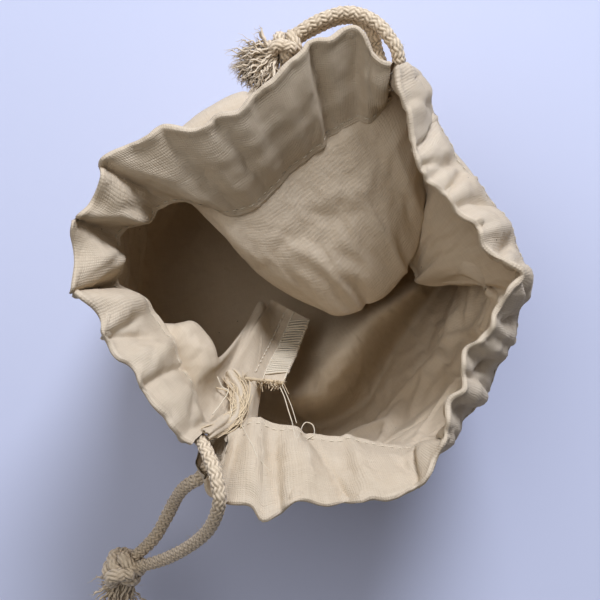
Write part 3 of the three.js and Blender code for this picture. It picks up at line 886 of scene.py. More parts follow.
def braid_heights(path, radius, sides, start=0.0, carriers=8, lay=None, depth=0.62):
    """Relief of a 2-over-2 braid: two families of strands winding opposite ways."""
    s = start + np.concatenate([[0], np.cumsum(np.linalg.norm(np.diff(path, axis=0), axis=1))])
    lay = lay or 2 * math.pi * radius * 1.05          # advance for one full turn of a strand
    u = np.arange(sides) / sides
    A = carriers * (u[None, :] + s[:, None] / lay)
    B = carriers * (-u[None, :] + s[:, None] / lay)
    fa, fb = A - np.floor(A), B - np.floor(B)
    ia, ib = np.floor(A).astype(int), np.floor(B).astype(int)
    wa = np.sqrt(np.clip(1 - (2 * fa - 1) ** 2, 0, 1))
    wb = np.sqrt(np.clip(1 - (2 * fb - 1) ** 2, 0, 1))
    # strand ia is over where (ia + ib) mod 4 is 0 or 1
    pa = (ia + (B - 0.0)) % 4.0                       # position along the float of family A: 0..2 over
    pb = (ib + (A - 0.0) + 2.0) % 4.0
    ea = np.where(pa < 2.0, np.sin(np.pi * np.clip(pa, 0, 2) / 2.0) ** 0.6, -0.25)
    eb = np.where(pb < 2.0, np.sin(np.pi * np.clip(pb, 0, 2) / 2.0) ** 0.6, -0.25)
    ya = 0.16 * np.abs(np.sin(3 * np.pi * fa)) * (ea > 0)
    yb = 0.16 * np.abs(np.sin(3 * np.pi * fb)) * (eb > 0)
    hgt = np.maximum(wa * (0.35 + 0.65 * ea) + ya, wb * (0.35 + 0.65 * eb) + yb)
    return (hgt - 1.1) * depth


def cord(name, points, radius=2.5, start=0.0, sides=56, step=0.28, taper0=False, taper1=False, mat=None):
    path = spline(points, step)
    m = len(path)
    hgt = braid_heights(path, radius, sides, start)
    rng = np.random.default_rng(int(abs(points[0][0]) * 100) + m)
    lump = np.interp(np.arange(m), np.linspace(0, m, 14), rng.uniform(-0.12, 0.12, 14))
    r = np.full(m, radius) + lump
    return join_tubes(name, [tube_data(path, r, sides, hgt, start)], mat or M_CORD)


def vec(p):
    return tuple(float(c) * MM for c in p)


def fuzz(name, path, radius, count, seed, length=1.3, mat=None):
    """Loose fibres standing off a cord."""
    rng = np.random.default_rng(seed)
    path = np.asarray(path)
    t, n1, n2 = frames(path)
    tubes = []
    for _ in range(count):
        i = rng.integers(0, len(path))
        a = rng.uniform(0, 2 * np.pi)
        d = math.cos(a) * n1[i] + math.sin(a) * n2[i]
        p0 = path[i] + d * (radius - 0.5)
        along = t[i] * rng.uniform(-1, 1) + np.cross(t[i], d) * rng.uniform(-1, 1)
        L = length * rng.uniform(0.5, 1.3)
        curve = rng.normal(0, 0.35, 3)
        pts = [p0, p0 + d * 0.5 * L * 0.6 + along * L * 0.25, p0 + d * L * 0.75 + along * L * 0.7 + curve * L * 0.5,
               p0 + d * L * 0.8 + along * L * 1.2 + curve * L]
        tubes.append(tube_data(np.array(pts), [0.045, 0.04, 0.032, 0.02], 3))
    return join_tubes(name, tubes, mat or M_FRAY)


# ----------------------------------------------------------------------------------------------
# cloth pieces
# ----------------------------------------------------------------------------------------------
from mathutils import Matrix, Vector
from mathutils.bvhtree import BVHTree

SLIT, SLIT_B = 3, 4                                 # columns left open each side of seams A and B, where the cords come out
BACK = np.arange(SEAM_A, SEAM_B + 1)
FRONT = np.concatenate([np.arange(SEAM_B, NU), np.arange(0, SEAM_A + 1)])
RING = np.arange(NU)
BACK_H = BACK[5:-3]
FRONT_H = np.concatenate([FRONT[6:], [SEAM_A + 1, SEAM_A + 2, SEAM_A + 3]])


def bend_back(o):
    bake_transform(o)


def bend_front(o):
    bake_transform(o)


def bend_base(o):
    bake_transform(o)


def finish_piece(o, nodes, bend):
    if nodes:
        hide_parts(*nodes)
    if isinstance(bend, str):
        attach(o, bend)
    else:
        bend(o)


for nm, r0, r1, cols, mat, slot, nodes, bend in (
    ("calico_lower", R_SPLIT, NV - 1, RING, M_CLOTH, "calico", ["body_cloth_lower"], bend_base),
    ("calico_back_wall", R_HEM - 1, R_SPLIT, BACK, M_CLOTH, "calico", ["back_wall_upper"], bend_back),
    ("calico_front_wall", R_HEM - 1, R_SPLIT, FRONT, M_CLOTH, "calico", ["front_wall_upper"], bend_front),
    ("calico_back_channel", 0, R_HEM - 1, BACK_H, M_HEM, "calico_hem",
     ["back_channel", "back_channel_end_a", "back_channel_end_b"], bend_back),
    ("calico_front_channel", 0, R_HEM - 1, FRONT_H, M_HEM, "calico_hem",
     ["front_channel", "front_channel_end_a", "front_channel_end_b"], bend_front),
):
    o = cloth_piece(nm, r0, r1, cols)
    paint(o, mat)
    finish_piece(o, nodes, bend)

ids = np.arange(NV * NU).reshape(NV, NU)
quads_all = np.stack([ids[:-1], np.roll(ids, -1, 1)[:-1], np.roll(ids, -1, 1)[1:], ids[1:]], -1).reshape(-1, 4)
tree = BVHTree.FromPolygons([tuple(p) for p in P.reshape(-1, 3)], quads_all.tolist())


def top_of(x, y, z0=160.0):
    hit = tree.ray_cast(Vector((x, y, z0)), Vector((0, 0, -1)))[0]
    return hit.z if hit is not None else 0.0


def patch(name, grid, thick, mat, uv_scale=0.01, uv0=(0, 0)):
    """Closed thin solid of a grid of points (rows, columns, 3), mm."""
    g = np.asarray(grid, float)
    du = np.gradient(g, axis=1)
    dv = np.gradient(g, axis=0)
    n = np.cross(du, dv)
    n /= np.linalg.norm(n, axis=2)[..., None] + 1e-12
    nr, nc = g.shape[:2]
    k = nr * nc
    idx = np.arange(k).reshape(nr, nc)
    q = np.stack([idx[:-1, :-1], idx[:-1, 1:], idx[1:, 1:], idx[1:, :-1]], -1).reshape(-1, 4)
    v = np.concatenate([(g + n * thick / 2).reshape(-1, 3), (g - n * thick / 2).reshape(-1, 3)])
    nn = np.concatenate([n.reshape(-1, 3), -n.reshape(-1, 3)])
    f = [q, (q + k)[:, ::-1], edge_strip(idx[0], k, True), edge_strip(idx[-1], k, False),
         edge_strip(idx[:, 0], k, False), edge_strip(idx[:, -1], k, True)]
    lu = np.concatenate([np.zeros((nr, 1)), np.cumsum(np.linalg.norm(np.diff(g, axis=1), axis=2), axis=1)], 1)
    lv = np.concatenate([np.zeros((1, nc)), np.cumsum(np.linalg.norm(np.diff(g, axis=0), axis=2), axis=0)], 0)
    uv = np.stack([lu + uv0[0], lv + uv0[1]], -1).reshape(-1, 2)
    uv = np.concatenate([uv, uv]) * uv_scale
    o = mesh_object(name, v, f, nn, uv)
    paint(o, mat)
    return o


# ----------------------------------------------------------------------------------------------
# stitching that closes the channels
# ----------------------------------------------------------------------------------------------
def dashes(line, nrmline, length, gap_len, radius, lift_, seed):
    """Short lengths of thread lying on a line of points."""
    rng_ = np.random.default_rng(seed)
    seg = np.linalg.norm(np.diff(line, axis=0), axis=1)
    s = np.concatenate([[0], np.cumsum(seg)])
    out, at = [], 1.0
    while at + length < s[-1]:
        w = at + np.linspace(0, 1, 5) * length * rng_.uniform(0.9, 1.08)
        p = np.stack([np.interp(w, s, line[:, a]) for a in range(3)], -1)
        n = np.stack([np.interp(w, s, nrmline[:, a]) for a in range(3)], -1)
        bow = np.array([-0.22, 0.12, 0.2, 0.12, -0.22])
        out.append(tube_data(p + n * (lift_ + bow)[:, None] if np.ndim(bow) else p, [radius * 0.8, radius, radius, radius, radius * 0.8], 6))
        at += length + gap_len
    return out


def row_line(r, cols):
    return P[r][cols], N[r][cols]


R_OUT = lambda i: 3 + NH + NF + (NH - 1 - i)
R_IN = lambda i: 3 + i
for nm, cols, nodes, bend in (
    ("stitching_back", BACK_H, ["back_channel_stitching", "back_stitching_end_a", "back_stitching_end_b"], bend_back),
    ("stitching_front", FRONT_H, ["front_channel_stitching", "front_stitching_end_a", "front_stitching_end_b"], bend_front),
):
    tubes = []
    for r in (R_OUT(1), R_IN(1)):
        l, n = row_line(r, cols)
        tubes += dashes(l, n, 2.0, 0.8, 0.2, THICK / 2 + 0.02, r)
    o = join_tubes(nm, tubes, M_THREAD)
    finish_piece(o, nodes, bend)

# ----------------------------------------------------------------------------------------------
# cords inside the channels
# ----------------------------------------------------------------------------------------------
def channel_mid(i, cols):
    return 0.5 * (P[R_OUT(i)][cols] + P[R_IN(i)][cols])


def smooth_line(p, n=6):
    p = p.copy()
    for _ in range(n):
        p[1:-1] = 0.5 * p[1:-1] + 0.25 * (p[2:] + p[:-2])
    return p


IA, IB = 16, 8                                       # rows of the channel in which cord A and cord B lie
for nm, i, cols, nodes, bend in (
    ("cord_a_in_front_channel", IA, FRONT[20:-2], ["cord_a_front_run", "cord_a_front_run_end"], bend_front),
    ("cord_a_in_back_channel", IA, BACK[8:-14], ["cord_a_back_run", "cord_a_back_run_end"], bend_back),
    ("cord_b_in_front_channel", IB, FRONT[15:-10], ["cord_b_front_run", "cord_b_front_run_end"], bend_front),
    ("cord_b_in_back_channel", IB, BACK[16:-5], ["cord_b_back_run", "cord_b_back_run_end"], bend_back),
):
    p = smooth_line(channel_mid(i, cols), 8)
    room_in = np.linalg.norm(P[R_OUT(i)][cols] - P[R_IN(i)][cols], axis=1) / 2 - THICK / 2 - 0.35
    path = spline(p[:: 2], 0.6)
    rad = np.interp(np.linspace(0, 1, len(path)), np.linspace(0, 1, len(cols)), np.clip(smooth_line((np.minimum.reduce([np.roll(room_in, k_) for k_ in range(-5, 6)]) * 0.85)[:, None], 3)[:, 0], 0.3, 1.9))
    o = join_tubes(nm, [tube_data(path, rad, 24, braid_heights(path, 1.8, 24) * 0.3, 0.0)], M_CORD)
    finish_piece(o, nodes, bend)
for nm, i, seam, node in (("cord_a_turn", IA, SEAM_B, "cord_a_turn_at_seam_b"), ("cord_b_turn", IB, SEAM_A, "cord_b_turn_at_seam_a")):
    cols = (np.arange(seam - 13, seam + 20) if seam == SEAM_B else np.arange(seam - 9, seam + 16)) % NU
    p = smooth_line(channel_mid(i, cols), 6)
    p[:, 2] -= 5.5 * np.sin(np.pi * np.arange(len(p)) / (len(p) - 1))
    path = spline(p[:: 2], 0.4)
    o = join_tubes(nm, [tube_data(path, 1.3, 24, braid_heights(path, 1.3, 24) * 0.4, 0.0)], M_CORD)
    finish_piece(o, [node], "sack_upper")


# ----------------------------------------------------------------------------------------------
# cord ends, knots and tassels
# ----------------------------------------------------------------------------------------------
CORD_R = 2.12
def inside(i, cols):
    """Points in the middle of a channel, from deep inside towards its mouth."""
    return [tuple(q) for q in smooth_line(channel_mid(i, np.array(cols) % NU), 1)]


A1 = inside(13, [230, 233, 236, 239, 242]) + [(70.2, 5.6, 101.6), (72.2, 8.8, 102), (74.0, 12.6, 102.2),
      (74.8, 16.7, 102.0), (74.5, 21.2, 101.6), (73.0, 24.9, 101.2), (70.6, 27.8, 100.8), (67.0, 31.0, 100.2), (63.1, 33.6, 99.6), (59.2, 35.2, 98.8)]
A2 = inside(12, [251, 249, 247]) + [(68.7, 11.4, 96.4), (71.6, 13.6, 96.9), (73.6, 16.2, 97.1), (74.2, 19.8, 96.9), (73.4, 23.2, 96.7),
      (71.0, 26.6, 96.4), (67.2, 29.9, 96.1), (62.8, 32.9, 96.2), (58.0, 35.0, 97.0)]
B1 = inside(12, [463, 466, 469]) + [(-59.2, 5.6, 101.5), (-61.5, 1.8, 106.0), (-64.3, -1.8, 109.2), (-67.8, -4.8, 110.4), (-71.4, -7.0, 109.6),
      (-77.3, -8.1, 104.0), (-84.1, -7.8, 94.5), (-92.1, -5.4, 82.5), (-99.9, -1.8, 70.5), (-106.6, 2.4, 60.0), (-111.1, 6.2, 53.6), (-114.2, 8.6, 50.5)]
B2 = inside(15, [10, 7, 4, 1]) + [(-70.0, 1.2, 95.0), (-73.2, 3.0, 91.0), (-76.8, 4.4, 85.6), (-80.4, 5.0, 80.0),
      (-84.6, 5.2, 74), (-90.9, 5.4, 67.2), (-98.2, 5.8, 61.0), (-105.2, 7.6, 55), (-111.0, 9.8, 51)]


def cut_at(points, x):
    """Length along the cord at which it first passes this x, going away from the sack."""
    p = spline(points, 0.27)
    s = np.concatenate([[0], np.cumsum(np.linalg.norm(np.diff(p, axis=0), axis=1))])
    return float(s[np.argmax(p[:, 0] < x)])


def two_part_cord(base, points, cut_mm, radius=CORD_R, sides=56):
    """One braided cord in two closed pieces, split at cut_mm along it."""
    path = spline(points, 0.27)
    s = np.concatenate([[0], np.cumsum(np.linalg.norm(np.diff(path, axis=0), axis=1))])
    hgt = braid_heights(path, radius, sides)
    rng_ = np.random.default_rng(int(s[-1] * 10))
    lump = np.interp(s, np.linspace(0, s[-1], 12), rng_.uniform(-0.1, 0.1, 12))
    c = int(np.searchsorted(s, cut_mm))
    # one set of frames for the whole cord, so that the braid runs on across the cut
    t, n1, n2 = frames(path)
    a = np.arange(sides) * 2 * np.pi / sides
    ring = np.cos(a)[None, :, None] * n1[:, None] + np.sin(a)[None, :, None] * n2[:, None]
    V = path[:, None] + ring * (radius + lump[:, None] + hgt)[..., None]
    out = []
    for nm, i0, i1 in ((base + "_root", 0, c), (base, c, len(path) - 1)):
        m = i1 - i0 + 1
        v = V[i0 : i1 + 1].reshape(-1, 3)
        idx = np.arange(m * sides).reshape(m, sides)
        q = np.stack([idx[:-1], np.roll(idx, -1, 1)[:-1], np.roll(idx, -1, 1)[1:], idx[1:]], -1).reshape(-1, 4)
        v = np.vstack([v, path[i0], path[i1]])
        c0, c1 = m * sides, m * sides + 1
        tri = np.vstack([np.stack([np.full(sides, c0), np.roll(idx[0], -1), idx[0]], -1),
                         np.stack([np.full(sides, c1), idx[-1], np.roll(idx[-1], -1)], -1)])
        uv = np.stack([np.broadcast_to(a / (2 * np.pi), (m, sides)), np.broadcast_to(s[i0 : i1 + 1, None], (m, sides))], -1).reshape(-1, 2)
        uv = np.vstack([uv, [0.5, s[i0]], [0.5, s[i1]]])
        out.append(join_tubes(nm, [(v, q, tri, uv)], M_CORD))
    return out, path, s


def root_a(o):
    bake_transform(o)


def reach_a(o):
    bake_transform(o)


def root_b(o):
    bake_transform(o)


def reach_b(o):
    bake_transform(o)


for base, pts, cut, root, reach, node, seed in (
    ("cord_a_strand_1", A1, 12.5, root_a, reach_a, "cord_a_strand_front", 1),
    ("cord_a_strand_2", A2, 11.5, root_a, reach_a, "cord_a_strand_back", 2),
    ("cord_b_strand_1", B1, cut_at(B1, -80.0), root_b, reach_b, "cord_b_strand_front", 3),
    ("cord_b_strand_2", B2, cut_at(B2, -80.0), root_b, reach_b, "cord_b_strand_back", 4),
):
    (o_root, o_out), path, s = two_part_cord(base, pts, cut)
    finish_piece(o_root, [], root)
    finish_piece(o_out, [node], reach)
    c = int(np.searchsorted(s, cut))
    f = fuzz(base + "_fibres", path[c + 4 : -8], CORD_R, 150, seed, 1.0)
    finish_piece(f, [], reach)


def knot(name, centre, axis, coil, radius, length, turns, node, body, seed, flat=0.92):
    """Tight overhand knot: the cord wraps round itself and leaves through the wraps."""
    a = np.array(axis, float)
    a /= np.linalg.norm(a)
    s1 = np.cross(a, [0, 0, 1.0])
    s1 /= np.linalg.norm(s1)
    s2 = np.cross(s1, a)
    t = np.linspace(0, 1, 60)
    ang = 2 * np.pi * turns * t + 0.6
    swell = coil * (0.80 + 0.25 * np.sin(np.pi * t))
    p = np.array(centre) + a * ((t - 0.5) * length)[:, None] + s1 * (swell * np.cos(ang))[:, None] + s2 * (swell * flat * np.sin(ang))[:, None]
    lead_in = np.array(centre) - a * (length * 0.5 + 1.0)
    lead_out = np.array(centre) + a * (length * 0.5 + 1.5)
    # the last turn crosses back over the wraps and tucks under them
    cross = [p[-1] + a * 0.6 + s1 * 0.5, np.array(centre) + a * length * 0.15 + s2 * (coil + radius * 0.75) + s1 * coil * 0.3,
             np.array(centre) - a * length * 0.32 + s2 * (coil * 0.8 + radius * 0.5) - s1 * coil * 0.7]
    path = spline(list(p[::3]) + cross, 0.27)
    o = join_tubes(name, [tube_data(path, radius, 56, braid_heights(path, radius, 56))], M_CORD)
    finish_piece(o, [node], body)
    core = spline([lead_in, np.array(centre) + s1 * 0.4, lead_out], 0.3)
    o = join_tubes(name + "_core", [tube_data(core, radius * 1.15, 56, braid_heights(core, radius * 1.15, 56))], M_CORD)
    finish_piece(o, [], body)
    f = fuzz(name + "_fibres", path, radius, 230, seed, 1.1)
    finish_piece(f, [], body)


def euler(x, y, z):
    return np.array(Matrix.Rotation(math.radians(z), 3, "Z") @ Matrix.Rotation(math.radians(y), 3, "Y") @ Matrix.Rotation(math.radians(x), 3, "X"))


knot("cord_a_overhand_knot", (56.4, 36.0, 97.6), (-0.87, 0.48, -0.08), 3.3, 2.05, 8.0, 2.15, "cord_a_knot", "cord_a_end", 11)
knot("cord_b_overhand_knot", (-114.6, 10.6, 49.2), (-0.93, 0.16, -0.34), 4.6, 2.45, 9.4, 2.15, "cord_b_knot", "cord_b_end", 12)


def tassel(name, origin, dirs, count, seed, node, body, thick=(0.24, 0.52), spread=2.9, zlift=0.0):
    """Unravelled cord ends: crimped yarns fanning out. dirs: (angle in degrees, length, weight, rise)."""
    rng_ = np.random.default_rng(seed)
    w = np.array([d[2] for d in dirs], float)
    w /= w.sum()
    tubes = []
    for k in range(count):
        d = dirs[rng_.choice(len(dirs), p=w)]
        ang = math.radians(d[0] + rng_.normal(0, 5))
        L = d[1] * rng_.uniform(0.62, 1.12)
        rise = d[3] + rng_.normal(0, 0.16)
        fwd = np.array([math.cos(ang), math.sin(ang), rise])
        fwd /= np.linalg.norm(fwd)
        side_ = np.cross(fwd, [0, 0, 1.0])
        side_ /= np.linalg.norm(side_)
        upv = np.cross(side_, fwd)
        o0 = np.array(origin) + side_ * rng_.normal(0, spread * 0.55) + upv * rng_.normal(0, spread * 0.5)
        n = 15
        tt = np.linspace(0, 1, n)
        amp_ = rng_.uniform(0.12, 0.38) * (0.4 + tt)
        fr = rng_.uniform(2.2, 4.2)
        ph = rng_.uniform(0, 6.28)
        bend_ = rng_.normal(0, 2.0)
        bend2 = rng_.normal(0, 1.4)
        p = o0 + fwd * (tt * L)[:, None] + side_ * (amp_ * np.sin(fr * 6.28 * tt + ph) + bend_ * tt**2)[:, None] \
            + upv * (amp_ * np.cos(fr * 6.28 * tt * 0.9 + ph) + bend2 * tt**2 + zlift * tt)[:, None]
        r0 = rng_.uniform(*thick)
        pp = spline(p, 0.55)
        q = np.linspace(0, 1, len(pp))
        twist = 0.16 * np.sin(q * L * 2.6 + ph)
        tubes.append(tube_data(pp, r0 * (1 - 0.25 * q + twist) * np.where(q > 0.9, 1.15 - 0.6 * (q - 0.9) / 0.1, 1.0), 7))
        # the very ends open into fibres
        for _ in range(3):
            e = pp[-1]
            dv_ = fwd + rng_.normal(0, 0.55, 3)
            ff = np.array([e - fwd * 0.4, e + dv_ * 0.5, e + dv_ * 0.9 + rng_.normal(0, 0.2, 3), e + dv_ * 1.3 + rng_.normal(0, 0.35, 3)])
            tubes.append(tube_data(ff, [0.10, 0.08, 0.06, 0.03], 4))
    o = join_tubes(name, tubes, M_FRAY)
    finish_piece(o, [node], body)


tassel("cord_a_tassel", (52.4, 38.4, 98.0),
       [(200, 8.0, 1.6, -0.25), (184, 9.8, 1.6, 0.0), (170, 9.6, 1.6, 0.2), (157, 9.6, 1.6, 0.0), (143, 9.4, 1.6, 0.25), (128, 8.8, 1.5, 0.0), (112, 6.6, 1.2, 0.1)],
       300, 5, "cord_a_frayed_ends", "cord_a_end")
tassel("cord_b_tassel", (-119.6, 9.6, 45.6),
       [(198, 15, 2.4, -0.45), (186, 13, 2.0, -0.5), (160, 9, 1.0, -0.45), (128, 8, 0.9, -0.5), (214, 11, 1.0, -0.4)],
       130, 6, "cord_b_frayed_ends", "cord_b_end", (0.26, 0.5), 2.6)

# ----------------------------------------------------------------------------------------------
# seam allowances with their overlock edge
# ----------------------------------------------------------------------------------------------
def resample(pts, n):
    p = spline(pts, 0.25)
    i = np.linspace(0, len(p) - 1, n)
    return np.stack([np.interp(i, np.arange(len(p)), p[:, a]) for a in range(3)], -1)


def overlock(name, edge_pts, inner_pts, nrm_pts, pitch, node, body, mat=None, r=0.34, flipz=1.0):
    """Thread looping over a raw edge: slanted stitches on the face, a chain along the edge and one along the needle line."""
    n = len(edge_pts)
    seg = np.concatenate([[0], np.cumsum(np.linalg.norm(np.diff(edge_pts, axis=0), axis=1))])
    tubes = []
    rng_ = np.random.default_rng(n)
    at = 0.4

    def pick(arr, s_):
        return np.array([np.interp(s_, seg, arr[:, a]) for a in range(3)])

    while at + pitch * 2.2 < seg[-1]:
        j = rng_.uniform(-0.12, 0.12)
        e0, e1 = pick(edge_pts, at), pick(edge_pts, at + pitch * 0.5)
        i0, i1 = pick(inner_pts, at + pitch * (1.55 + j)), pick(inner_pts, at + pitch * (2.05 + j))
        n0 = pick(nrm_pts, at)
        out_d = e0 - i0
        out_d /= np.linalg.norm(out_d)
        p = [i0 + n0 * 0.30, 0.5 * (i0 + e0) + n0 * 0.55, e0 + n0 * 0.42, e0 + out_d * 0.35, e1 + out_d * 0.3 - n0 * 0.1,
             e1 + n0 * 0.42, 0.5 * (i1 + e1) + n0 * 0.55, i1 + n0 * 0.30]
        tubes.append(tube_data(spline(p, 0.5), r * rng_.uniform(0.85, 1.15), 6))
        at += pitch
    for arr, off, rr in ((inner_pts, 0.42, 0.22), (edge_pts, 0.30, 0.30)):
        w = np.linspace(seg[0], seg[-1], max(8, int(seg[-1] / 0.5)))
        p = np.array([pick(arr, s_) + pick(nrm_pts, s_) * (off + 0.14 * math.sin(s_ * 2 * math.pi / pitch)) for s_ in w])
        tubes.append(tube_data(p, rr, 6))
    o = join_tubes(name, tubes, mat or M_THREAD)
    finish_piece(o, [node], body)


# the flap that stands free beside seam B
FOLD_L = resample([(-13.2, 7.2, 40), (-15.4, 7.4, 41), (-21.0, 7.6, 47), (-27.6, 8.0, 55), (-34.2, 8.2, 65), (-40.6, 8.0, 75)], 56)
LOCK_L = resample([(-13.6, -7.4, 38), (-17.1, -7.7, 41), (-20.9, -8.0, 45), (-26.1, -8.5, 52), (-30.4, -8.5, 60), (-35.6, -9.0, 70)], 56)
NW_ = 22
wgt = np.linspace(0, 1, NW_)
flap = FOLD_L[:, None] * (1 - wgt)[None, :, None] + LOCK_L[:, None] * wgt[None, :, None]
sv_ = np.linspace(0, 1, 56)
flap_z = np.array([[max(top_of(flap[i, j, 0], flap[i, j, 1]) + 0.9, flap[i, j, 2] - 6) for j in range(NW_)] for i in range(56)])
for _ in range(10):
    pad = np.pad(flap_z, 1, mode="edge")
    flap_z = np.maximum(flap_z, 0.25 * (pad[2:, 1:-1] + pad[:-2, 1:-1] + pad[1:-1, 2:] + pad[1:-1, :-2]))
    pad = np.pad(flap_z, 1, mode="edge")
    flap_z = 0.5 * flap_z + 0.125 * (pad[2:, 1:-1] + pad[:-2, 1:-1] + pad[1:-1, 2:] + pad[1:-1, :-2])
flap[..., 2] = flap_z + 0.5
flap[..., 2] += 0.7 * np.sin(sv_ * 9.0 + 0.5)[:, None] * wgt[None] ** 2
flap[..., 2] += 0.28 * np.sin(sv_ * 44 * 2 * np.pi / 2.3 / 4)[:, None] * np.clip((wgt[None] - 0.55) / 0.45, 0, 1)
flap[..., 2] += 1.3 * np.exp(-(((wgt[None] - 0.02) / 0.10) ** 2)) - 0.5 * np.exp(-(((wgt[None] - 0.42) / 0.05) ** 2))
o = patch("seam_flap_b_upper", flap, THICK, M_CLOTH, uv0=(31, 17))
finish_piece(o, ["seam_allowance_b_upper"], "sack_upper")
flap_n = np.cross(np.gradient(flap, axis=1), np.gradient(flap, axis=0))
flap_n /= np.linalg.norm(flap_n, axis=2)[..., None]
if flap_n[..., 2].mean() < 0:
    flap_n = -flap_n
jin = int(NW_ * 0.60)
overlock("overlock_thread_b_upper", flap[:, -1], flap[:, jin], flap_n[:, -1], 2.5, "overlock_b_upper", "sack_upper", r=0.42)
mid_l, mid_n = flap[2:-3, int(NW_ * 0.42)], flap_n[2:-3, int(NW_ * 0.42)]
o = join_tubes("seam_stitches_b", dashes(mid_l, mid_n, 1.8, 1.1, 0.22, 0.45, 9), M_THREAD)
finish_piece(o, [], "sack_upper")


def lying_strip(name, rows_, cols_, seam, side, mat, node, body, offset=0.75):
    """A layer lying on the inside of the wall beside a seam."""
    g = P[rows_][:, cols_] - N[rows_][:, cols_] * (THICK + offset)
    return g


up_rows = np.arange(R_HEM + 26, R_SPLIT + 1)
lo_rows = np.arange(R_SPLIT, NV - 34)
for tag, seam, rows_, which, body in (
    ("a", SEAM_A, up_rows, "upper", "sack_upper"), ("a", SEAM_A, lo_rows, "lower", bend_base), ("b", SEAM_B, lo_rows, "lower", bend_base),
):
    step_ = -1
    cols_ = (seam + step_ * np.arange(0, 12)) % NU
    g = P[rows_][:, cols_] - N[rows_][:, cols_] * (THICK + 0.35)
    g = g - N[rows_][:, cols_] * (0.25 * np.sin(np.arange(len(rows_)) * 0.7)[:, None] * (np.arange(12) / 11.0)[None] ** 2 + 0.25 * (np.arange(12) / 11.0)[None])[..., None]
    if step_ < 0:
        gg = g[:, ::-1]
    else:
        gg = g
    o = patch("seam_flap_%s_%s" % (tag, which), gg, THICK * 0.9, M_CLOTH, uv0=(60, 9))
    finish_piece(o, ["seam_allowance_%s_%s" % (tag, which)], body)
    nn_ = -N[rows_][:, cols_[-1]]
    overlock("overlock_thread_%s_%s" % (tag, which), g[:, -1], g[:, 6], nn_, 2.3, "overlock_%s_%s" % (tag, which), body)

# ----------------------------------------------------------------------------------------------
# raw end of the flap, loose yarns and threads at seam B
# ----------------------------------------------------------------------------------------------
rng_f = np.random.default_rng(44)
tubes = []
end_row, end_n = flap[-1], flap_n[-1]
along_end = flap[-1] - flap[-4]
along_end /= np.linalg.norm(along_end, axis=1)[:, None]
tubes.append(tube_data(spline(end_row - along_end * 0.2 + end_n * 0.45, 0.4), 0.62, 9))
tubes.append(tube_data(spline(end_row[3:-2] + along_end[3:-2] * 0.5 + end_n[3:-2] * 0.1, 0.4), 0.42, 8))
for k in range(190):
    j = rng_f.integers(0, NW_)
    p0 = end_row[j] - along_end[j] * 0.8 + end_n[j] * rng_f.uniform(-0.1, 0.25)
    L = rng_f.uniform(0.8, 3.2)
    d = along_end[j] + rng_f.normal(0, 0.45, 3)
    c = rng_f.normal(0, 0.5, 3)
    pts = [p0, p0 + d * L * 0.4 + c * 0.3, p0 + d * L * 0.75 + c, p0 + d * L + c * 1.8]
    tubes.append(tube_data(spline(pts, 0.4), rng_f.uniform(0.06, 0.17), 5))
# raw cloth ends twisted into a soft rope, with yarns pulled out along it
ROPE = [(-38.6, 7.6, 79), (-41.0, 4.2, 81), (-44.4, 1.2, 84), (-48.4, 0.0, 87), (-52.0, 1.2, 90.5), (-54.8, 3.8, 93.5), (-57.0, 5.4, 96.5)]
rope_line = spline(ROPE, 1.0)
rope_line[:, 2] = np.maximum(rope_line[:, 2], [top_of(a_[0], a_[1]) + 0.8 for a_ in rope_line])
for _ in range(4):
    rope_line[1:-1, 2] = 0.5 * rope_line[1:-1, 2] + 0.25 * (rope_line[2:, 2] + rope_line[:-2, 2])
for k in range(150):
    side0, side1 = rng_f.normal(0, 1.5), rng_f.normal(0, 1.0)
    ph_, tw = rng_f.uniform(0, 6.28), rng_f.uniform(0.6, 1.5)
    base_ = rope_line
    t0_ = rng_f.uniform(0, 0.35)
    t1_ = t0_ + rng_f.uniform(0.4, 0.7)
    seg_ = base_[int(t0_ * (len(base_) - 1)) : int(min(t1_, 1.0) * (len(base_) - 1)) + 1]
    if len(seg_) < 5:
        continue
    q_ = np.linspace(0, 1, len(seg_))
    tg = np.gradient(seg_[:, :2], axis=0)
    tg /= np.linalg.norm(tg, axis=1)[:, None] + 1e-9
    nr = np.stack([-tg[:, 1], tg[:, 0]], -1)
    off_ = (side0 * (1 - q_) + side1 * q_) + 0.9 * np.sin(q_ * 6.28 * tw + ph_)
    x = seg_[:, 0] + nr[:, 0] * off_
    y = seg_[:, 1] + nr[:, 1] * off_
    z = np.array([top_of(xx, yy) for xx, yy in zip(x, y)])
    z = np.maximum(np.where(z > seg_[:, 2] + 4, seg_[:, 2], z), seg_[:, 2] - 0.6) + 0.7 + 1.1 * np.abs(np.cos(q_ * 6.28 * tw + ph_)) + rng_f.uniform(0, 1.2) * np.sin(np.pi * q_)
    for _ in range(3):
        z = np.convolve(np.pad(z, 1, mode="edge"), [0.25, 0.5, 0.25], "valid")
    tubes.append(tube_data(spline(np.stack([x, y, z], -1), 0.6), rng_f.uniform(0.07, 0.24), 6))
# the soft cloth core of the bundle, a narrow raw strip curled on itself
core_t = np.linspace(0, 1, len(rope_line))
tg = np.gradient(rope_line, axis=0)
tg /= np.linalg.norm(tg, axis=1)[:, None]
sd = np.cross(tg, [0, 0, 1.0])
sd /= np.linalg.norm(sd, axis=1)[:, None]
up_ = np.cross(sd, tg)
ww = np.linspace(-1, 1, 17)
curl = rope_line[:, None] + sd[:, None] * (ww[None] * (2.2 + 0.5 * np.sin(core_t * 11))[:, None])[..., None] \
    + up_[:, None] * ((1.6 * (1 - ww[None] ** 2) + 0.5 * np.sin(core_t * 19)[:, None] * ww[None] + 0.35 * np.sin(ww[None] * 7 + core_t[:, None] * 14)) - 0.2)[..., None]
o = patch("raw_seam_end", curl, THICK, M_CLOTH, uv0=(80, 30))
finish_piece(o, [], "sack_upper")
o = join_tubes("frayed_seam_end", tubes, M_LOOSE)
finish_piece(o, [], "sack_upper")


